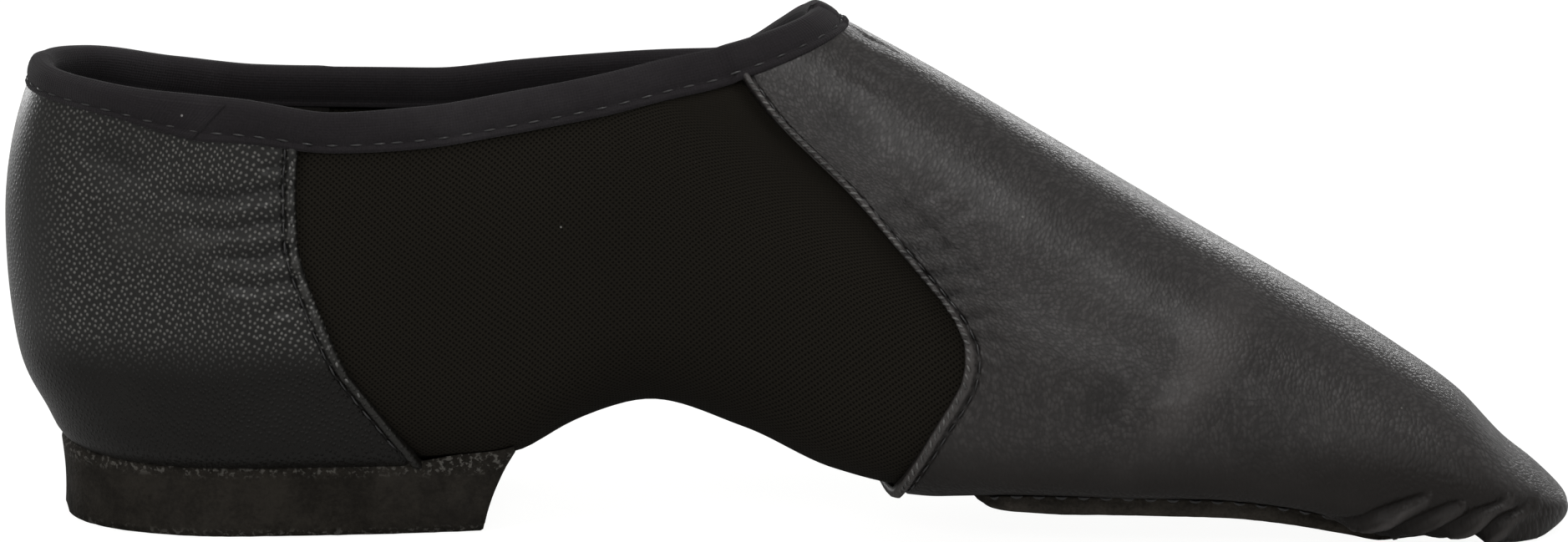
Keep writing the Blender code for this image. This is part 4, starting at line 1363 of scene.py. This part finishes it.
def build_counter(colours):
    """The embossed leather round the heel, wrinkled where it is drawn in at its seam."""
    columns = columns_through([
        (at_run(0.0), 48), (at_run(HEEL_RADIUS), 12), (beside(counter_seam, -SEAM_BAND), 12),
        (counter_seam, 0)])
    tops = tops_below(columns, HIDDEN_EDGE)

    def heights(side, i):
        return rows_between(-0.56, 0.0, 14)[:-1] + rows_between(0.0, tops[side, i], 66)

    mesh = skin_sheet(columns, heights)
    creases = prepared(COUNTER_CREASES)

    def lift(run, height, side, point):
        behind = counter_seam(height) - run
        relief = folded_edge(behind, 0.00055 * bare_of_tape(point, behind), 0.0019)
        gather = max(math.cos(2 * math.pi * point.z / COUNTER_PITCH), -0.4)
        relief -= 0.00012 * gather * ease(behind, 0.0018, 0.0026) * (1 - ease(behind, 0.0030, 0.0062))
        relief += crease_relief(creases, run, point.z, side)
        ripple = noise.noise(Vector((run * 60, point.z * 45, side * 6.0)))
        relief += 0.12 * MM * ripple * ease(behind, 0.004, 0.012)
        return SHELL, relief

    raise_sheet(mesh, lift)
    # 12.0 is the tone of the painted highlight on the grain tops; the last pair is the band of painted shade
    # low on the shoe
    material = leather("heel_leather", dotted_grain(), 1080.0, colours.counter, 0.41, 0.00028, 12.0,
                       0.80, (0.0265, 0.0350))
    piece_from(mesh, "heel_leather", "heel_counter", material, wall=LEATHER * 0.8)
    random.seed(12)
    row = beside(counter_seam, -0.00205)
    fold = beside(counter_seam, -0.0008)
    ends = {side: top_height(counter_seam, side, BINDING_DROP + 0.0004) for side in (-1, 1)}
    places = []
    for side, top in ends.items():
        places += row_places(row, side, -0.42, top, COUNTER_PITCH, SHELL - 0.00010, 0.001, 0.08)
    lay_stitches(
        "counter_stitches", places, 0.0021, THREAD, 0.00018, thread_of(colours))
    knots = []
    for side, top in ends.items():
        knots += row_places(fold, side, -0.2, top, COUNTER_PITCH, SHELL + 0.00062, 0.0024, 0.3)
    # the knots on the fold take the thread painted pale as a glint
    scuffs_and_painted_glint = thread_of(colours, True)
    lay_stitches("counter_edge_stitches", knots, 0.00090, 0.00052, 0.00010, scuffs_and_painted_glint)


def build_linings(colours):
    """Thin cloth linings inside the heel and the vamp, under the sock and the binding."""
    material = tape_material("lining_cloth", colours.lining, 0.05, 0.00010)
    heel = columns_through([(at_run(0.0), 20), (at_run(HEEL_RADIUS), 8), (beside(counter_seam, 0.002), 0)])
    front = columns_through([
        (beside(vamp_seam, -0.002), 8), (beside(vamp_seam, LIP), 36), (at_run(0.222), 0)])
    for name, columns in (("heel_lining", heel), ("vamp_lining", front)):
        tops = tops_below(columns, LINING_EDGE)
        mesh = skin_sheet(columns, lambda side, i: rows_between(-0.62, tops[side, i], 40))
        raise_sheet(mesh, lambda run, height, side, point: (-WALL - 0.00022, 0.0))
        bmesh.ops.reverse_faces(mesh, faces=list(mesh.faces))
        piece = piece_from(mesh, name, None, material, wall=0.0002)
        piece.modifiers["wall"].offset = 1.0


def build_sock(colours):
    """The sock that covers the inside of the sole."""
    columns = columns_through([
        (at_run(0.0), 22), (at_run(HEEL_RADIUS), 80), (at_run(0.226), 0)])
    mesh = skin_sheet(columns, lambda side, i: rows_between(-1.0, -0.5, 9))
    raise_sheet(mesh, lambda run, height, side, point: (-WALL - GAP - 0.0020, 0.0))
    material = tape_material("sock_cloth", colours.sock, 0.10, 0.00018)
    piece = piece_from(mesh, "sock", "insole", material, wall=0.0020)
    piece.modifiers["wall"].offset = 1.0


def sole_solid(columns, rows_of, lift, base_of, cuts):
    """A sole piece: a fine top that follows the skin, cut walls, and a base that base_of(point) lays out."""
    mesh = skin_sheet(columns, rows_of)
    raise_sheet(mesh, lambda run, height, side, point: (lift, 0.0))
    made = bmesh.ops.extrude_face_region(mesh, geom=list(mesh.faces), use_keep_orig=True)["geom"]
    base = [part for part in made if isinstance(part, bmesh.types.BMVert)]
    low = set(base)
    walls = [edge for vertex in base for edge in vertex.link_edges if edge.other_vert(vertex) not in low]
    spots = {vertex: base_of(vertex.co.copy()) for vertex in base}
    for vertex, spot in spots.items():
        vertex.co = spot
    bmesh.ops.subdivide_edges(mesh, edges=list(set(walls)), cuts=cuts, use_grid_fill=False)
    bmesh.ops.recalc_face_normals(mesh, faces=mesh.faces)
    mesh.normal_update()
    return mesh


def wall_directions(mesh):
    """Each vertex of a sole piece's upright walls, with the level direction that it faces."""
    for vertex in mesh.verts:
        outline = Vector((vertex.normal.x, vertex.normal.y, 0.0))
        if outline.length >= WALL_NORMAL:
            yield vertex, outline.normalized()


def build_heel(colours):
    """The low heel: a top that follows the seat, hollowed walls and a worn lower edge."""
    columns = columns_through([(at_run(0.0), 34), (at_run(HEEL_RADIUS), 30), (at_run(HEEL_BREAST), 0)])

    def rows_of(side, i):
        behind = 1 - ease(columns[i](0.0), 0.0, 0.024)
        return rows_between(-1.0, -0.508 + 0.060 * behind, 12)

    reach = BALL_WIDTH * SECTION["lateral"](HEEL_RADIUS / LAST_LENGTH)

    def base_of(point):
        x, y, _ = point - SHIFT
        past = max(x - HEEL_RADIUS, 0.0) / (HEEL_BREAST - HEEL_RADIUS)
        spot = Vector((x - BREAST_SLOPE * past + HEEL_TAPER * max(1 - x / HEEL_RADIUS, 0.0),
                       y * (1 - HEEL_TAPER / reach - BREAST_NARROWING * past ** 2), 0.0))
        return spot + Vector((SHIFT.x, SHIFT.y, 0.0))

    mesh = sole_solid(columns, rows_of, GAP + 0.0004, base_of, 9)
    top = HEEL_HEIGHT + 0.001
    for vertex in mesh.verts:
        past_leather = ease(vertex.co.x - SHIFT.x, 0.0620, 0.0690)
        vertex.co.z += HEEL_TOP_RISE * past_leather * ease(vertex.co.z, 0.006, 0.010)
    for vertex, outline in wall_directions(mesh):
        share = min(vertex.co.z / top, 1.0)
        hollow = -0.00035 * math.sin(math.pi * share)
        worn = -0.00045 * (1 - ease(vertex.co.z, 0.0, 0.0011))
        crumb = 0.00022 * noise.noise(vertex.co * 900) * (1 - ease(vertex.co.z, 0.0005, 0.0035))
        if outline.x > 0.7:
            hollow *= 2.0
        back = HEEL_BACK_REACH * (1 - ease(vertex.co.x - SHIFT.x, 0.008, 0.040))
        vertex.co += outline * (hollow + worn + crumb + back)
    mesh.normal_update()
    material = nap_material("heel_rubber", colours.heel, 1500.0, 0.84, 0.00030, 0.30)
    piece_from(mesh, "heel", "heel_block", material)


def build_patch(colours):
    """The suede patch under the forefoot, with its sewn, slightly scalloped edge."""
    middle = (PATCH_START + PATCH_END) / 2
    steps = 46
    runs = [middle - (middle - PATCH_START) * math.sin(math.pi / 2 * (1 - k / steps)) for k in range(steps)]
    runs += [middle + (PATCH_END - middle) * math.sin(math.pi / 2 * k / steps) for k in range(steps + 1)]

    def edge(run):
        share = round_end(run - (PATCH_END - PATCH_TOE_ROUND), PATCH_TOE_ROUND, 2.2)
        share = min(share, round_end(PATCH_START + PATCH_HEEL_ROUND - run, PATCH_HEEL_ROUND, 2.6))
        return -1 + (PATCH_EDGE + 1) * share

    def heights(side, i):
        return rows_between(-1.0, edge(runs[i]) + TINY * (len(runs) - i), 12)

    def base_of(point):
        share = (point.x - SHIFT.x) / LAST_LENGTH
        thin = 0.0011 * (1 - ease(point.x - SHIFT.x, PATCH_START, PATCH_START + 0.016))
        return Vector((point.x, point.y, max(floor_height(share) - SOLE_STACK, 0.0) + thin))

    mesh = sole_solid([at_run(run) for run in runs], heights, SHELL + GAP * 0.6, base_of, 5)
    for vertex, outline in wall_directions(mesh):
        low = floor_height((vertex.co.x - SHIFT.x) / LAST_LENGTH) - SOLE_STACK
        up = vertex.co.z - max(low, 0.0)
        scallop = abs(math.sin(math.pi * vertex.co.x / PATCH_PITCH))
        bulge = 0.00030 * math.sin(math.pi * min(up / 0.0022, 1.0))
        rough = 0.00016 * noise.noise(vertex.co * 800)
        vertex.co += outline * (bulge * (0.4 + 0.6 * scallop) + rough - 0.00025 * (1 - ease(up, 0.0, 0.0006)))
    mesh.normal_update()
    material = nap_material("sole_suede", colours.suede, 1700.0, 0.90, 0.00026, 0.35)
    piece_from(mesh, "forefoot_patch", "forefoot_outsole", material)
    random.seed(13)
    places = []
    for side in (-1, 1):
        at = PATCH_START + 0.004
        while at < PATCH_END - 0.010:
            height = edge(at) + 0.035
            normal = outward(at, height, side)
            point = skin(at, height, side) + SHIFT + normal * (SHELL + GAP + 0.0002)
            ahead = (skin(at + 0.001, edge(at + 0.001) + 0.035, side) - skin(at, height, side)).normalized()
            places.append((point, ahead, normal))
            at += PATCH_PITCH
    lay_stitches("patch_stitches", places, 0.0019, 0.0006, 0.0002, thread_of(colours))


class JazzShoeSizes(bpy.types.PropertyGroup):
    """Sizes of the stage that a user may change."""

    camera_distance: bpy.props.FloatProperty(
        name="Camera distance", description="From the camera to the middle of the shoe", default=1.80956,
        min=0.5, unit="LENGTH")
    camera_height_angle: bpy.props.FloatProperty(
        name="Camera height angle", description="How far above the horizon the camera stands",
        default=math.radians(11.2333), subtype="ANGLE")
    camera_side_angle: bpy.props.FloatProperty(
        name="Camera side angle", description="How far the camera is turned round the shoe",
        default=math.radians(-1.1707), subtype="ANGLE")
    camera_roll: bpy.props.FloatProperty(
        name="Camera roll", description="How far the camera is rolled", default=math.radians(-0.2456),
        subtype="ANGLE")
    lens: bpy.props.FloatProperty(
        name="Lens", description="Focal length on a 36 mm wide sensor", default=268.18, unit="CAMERA")
    floor_size: bpy.props.FloatProperty(
        name="Floor size", description="Side of the square floor", default=9.0, unit="LENGTH")
    light_power: bpy.props.FloatProperty(
        name="Light power", description="Multiplies every lamp of the stage", default=1.0, min=0.0)


def colour_property(name, description, default):
    """A linear colour property."""
    return bpy.props.FloatVectorProperty(
        name=name, description=description, default=default, min=0.0, max=1.0, size=3, subtype="COLOR")


class JazzShoeColours(bpy.types.PropertyGroup):
    """Base colours of the finishes, as linear values."""

    vamp: colour_property("Vamp leather", "Smooth leather of forefoot and toe", (0.0190, 0.0173, 0.0166))
    counter: colour_property("Heel leather", "Embossed leather round the heel", (0.0110, 0.0107, 0.0098))
    mesh: colour_property("Stretch mesh", "Threads of the mesh", (0.0098, 0.0084, 0.0062))
    binding: colour_property("Binding", "Stretch tape round the collar", (0.0140, 0.0122, 0.0134))
    heel: colour_property("Heel", "Matte rubber of the heel", (0.0165, 0.0145, 0.0116))
    suede: colour_property("Patch suede", "Suede of the forefoot patch", (0.0330, 0.0290, 0.0240))
    sock: colour_property("Sock", "Cloth sock inside the shoe", (0.0220, 0.0205, 0.0200))
    lining: colour_property("Lining", "Cloth lining inside heel and vamp", (0.0120, 0.0105, 0.0095))
    thread: colour_property("Thread", "Sewing thread", (0.0150, 0.0142, 0.0142))
    # painted highlight: a pale thread colour that stands for glints on thread wrapped over an edge
    scuffs_and_painted_glint: colour_property("Glint-painted thread", "Thread painted pale as a glint where it wraps an edge", (0.0760, 0.0740, 0.0700))
    floor: colour_property("Floor", "Plain pale floor", (0.92, 0.92, 0.915))


class JazzShoeOperator:
    """What every piece operator shares."""

    bl_options = {"REGISTER", "UNDO"}
    build = None

    def execute(self, context):
        type(self).build(context.scene.jazz_shoe_colours)
        return {"FINISHED"}


class JAZZSHOE_OT_mesh_body(JazzShoeOperator, bpy.types.Operator):
    """Build the stretch mesh body"""

    bl_idname = "jazz_shoe.mesh_body"
    bl_label = "Mesh Body"
    build = build_mesh_body


class JAZZSHOE_OT_vamp(JazzShoeOperator, bpy.types.Operator):
    """Build the vamp leather and its stitches"""

    bl_idname = "jazz_shoe.vamp"
    bl_label = "Vamp"
    build = build_vamp


class JAZZSHOE_OT_counter(JazzShoeOperator, bpy.types.Operator):
    """Build the heel leather and its stitches"""

    bl_idname = "jazz_shoe.counter"
    bl_label = "Heel Leather"
    build = build_counter


class JAZZSHOE_OT_binding(JazzShoeOperator, bpy.types.Operator):
    """Build the collar binding, its lap and its stitches"""

    bl_idname = "jazz_shoe.binding"
    bl_label = "Collar Binding"
    build = build_binding


class JAZZSHOE_OT_linings(JazzShoeOperator, bpy.types.Operator):
    """Build the linings inside heel and vamp"""

    bl_idname = "jazz_shoe.linings"
    bl_label = "Linings"
    build = build_linings


class JAZZSHOE_OT_sock(JazzShoeOperator, bpy.types.Operator):
    """Build the sock"""

    bl_idname = "jazz_shoe.sock"
    bl_label = "Sock"
    build = build_sock


class JAZZSHOE_OT_heel(JazzShoeOperator, bpy.types.Operator):
    """Build the low heel"""

    bl_idname = "jazz_shoe.heel"
    bl_label = "Heel"
    build = build_heel


class JAZZSHOE_OT_patch(JazzShoeOperator, bpy.types.Operator):
    """Build the forefoot patch and its stitches"""

    bl_idname = "jazz_shoe.patch"
    bl_label = "Forefoot Patch"
    build = build_patch


# Lamps: name, place, size, power in watts, tint. Each one faces the shoe.
LAMPS = (
    ("overhead", (0.25, -0.25, 1.30), (0.8, 0.6), 8.0, (1.0, 1.0, 1.0)),
    ("front", (0.25, -1.60, 0.95), (0.7, 0.5), 6.0, (1.0, 1.0, 1.0)),
    ("front_left", (-1.10, -1.10, 0.95), (0.6, 0.6), 7.0, (1.0, 0.99, 0.98)),
    ("front_right", (1.20, -0.90, 0.80), (0.5, 0.5), 2.0, (0.98, 0.99, 1.0)),
    ("behind", (0.10, 1.50, 0.26), (0.7, 0.20), 2.6, (1.0, 1.0, 1.0)),
    ("heel_rim", (-0.88, 1.28, 0.09), (0.3, 0.14), 2.9, (1.0, 1.0, 1.0)),
)


class JAZZSHOE_OT_stage(bpy.types.Operator):
    """Build the floor, lamps, sky and camera"""

    bl_idname = "jazz_shoe.stage"
    bl_label = "Stage"
    bl_options = {"REGISTER", "UNDO"}

    def execute(self, context):
        sizes = context.scene.jazz_shoe_sizes
        colours = context.scene.jazz_shoe_colours
        mesh = bmesh.new()
        made = bmesh.ops.create_grid(mesh, x_segments=8, y_segments=8, size=sizes.floor_size / 2)["verts"]
        bmesh.ops.translate(mesh, verts=made, vec=(0.0, 0.0, -0.0002))
        data = bpy.data.meshes.new("floor")
        mesh.to_mesh(data)
        mesh.free()
        floor = bpy.data.objects.new("floor", data)
        context.scene.collection.objects.link(floor)
        data.materials.append(floor_material(colours.floor))
        target = Vector((0.0, 0.0, 0.035))
        for name, place, size, power, tint in LAMPS:
            lamp = bpy.data.lights.new(name, "AREA")
            lamp.shape = "RECTANGLE"
            lamp.size, lamp.size_y = size
            lamp.energy = power * sizes.light_power
            lamp.color = tint
            stand = bpy.data.objects.new(name, lamp)
            context.scene.collection.objects.link(stand)
            stand.location = place
            stand.rotation_euler = (target - Vector(place)).to_track_quat("-Z", "Y").to_euler()
        world = bpy.data.worlds.new("soft_sky")
        world.use_nodes = True
        sky = world.node_tree.nodes["Background"]
        sky.inputs["Color"].default_value = (1.0, 1.0, 1.0, 1.0)
        sky.inputs["Strength"].default_value = 0.36
        context.scene.world = world
        context.scene.view_settings.view_transform = "Standard"
        self.add_camera(context, sizes, target)
        return {"FINISHED"}

    def add_camera(self, context, sizes, target):
        """Set the camera on the inner side of the foot, at the photograph's angle."""
        tilt, turn, roll = sizes.camera_height_angle, sizes.camera_side_angle, sizes.camera_roll
        forward = Vector((math.sin(turn) * math.cos(tilt), math.cos(turn) * math.cos(tilt), -math.sin(tilt)))
        level = Vector((math.cos(turn), -math.sin(turn), 0.0))
        upward = level.cross(forward)
        right = level * math.cos(roll) + upward * math.sin(roll)
        up = upward * math.cos(roll) - level * math.sin(roll)
        camera = bpy.data.cameras.new("camera")
        camera.lens = sizes.lens
        camera.sensor_width = 36.0
        camera.shift_x = -0.0013
        camera.shift_y = 0.0059
        camera.clip_end = 30.0
        stand = bpy.data.objects.new("camera", camera)
        context.scene.collection.objects.link(stand)
        axes = Matrix((right, up, -forward)).transposed().to_4x4()
        axes.translation = target - forward * sizes.camera_distance
        stand.matrix_world = axes
        context.scene.camera = stand


class JAZZSHOE_PT_panel(bpy.types.Panel):
    """Sidebar panel with the sizes, the colours and one button for each piece"""

    bl_idname = "JAZZSHOE_PT_panel"
    bl_label = "Jazz Shoe"
    bl_space_type = "VIEW_3D"
    bl_region_type = "UI"
    bl_category = "Jazz Shoe"

    def draw(self, context):
        for group in (context.scene.jazz_shoe_sizes, context.scene.jazz_shoe_colours):
            for name in group.bl_rna.properties.keys():
                if name not in ("name", "rna_type"):
                    self.layout.prop(group, name)
        for operator in PIECES:
            self.layout.operator(operator.bl_idname)


PIECES = (
    JAZZSHOE_OT_mesh_body,
    JAZZSHOE_OT_vamp,
    JAZZSHOE_OT_counter,
    JAZZSHOE_OT_binding,
    JAZZSHOE_OT_linings,
    JAZZSHOE_OT_sock,
    JAZZSHOE_OT_heel,
    JAZZSHOE_OT_patch,
    JAZZSHOE_OT_stage,
)
CLASSES = (JazzShoeSizes, JazzShoeColours, *PIECES, JAZZSHOE_PT_panel)


def register():
    """Register the classes and hang the property groups on the scene."""
    for cls in CLASSES:
        bpy.utils.register_class(cls)
    bpy.types.Scene.jazz_shoe_sizes = bpy.props.PointerProperty(type=JazzShoeSizes)
    bpy.types.Scene.jazz_shoe_colours = bpy.props.PointerProperty(type=JazzShoeColours)


def unregister():
    """Take the property groups and the classes away again."""
    del bpy.types.Scene.jazz_shoe_colours
    del bpy.types.Scene.jazz_shoe_sizes
    for cls in reversed(CLASSES):
        bpy.utils.unregister_class(cls)


def main():
    """Build every piece and the stage."""
    register()
    bpy.ops.jazz_shoe.mesh_body()
    bpy.ops.jazz_shoe.vamp()
    bpy.ops.jazz_shoe.counter()
    bpy.ops.jazz_shoe.binding()
    bpy.ops.jazz_shoe.linings()
    bpy.ops.jazz_shoe.sock()
    bpy.ops.jazz_shoe.heel()
    bpy.ops.jazz_shoe.patch()
    bpy.ops.jazz_shoe.stage()


if __name__ == "__main__":
    main()
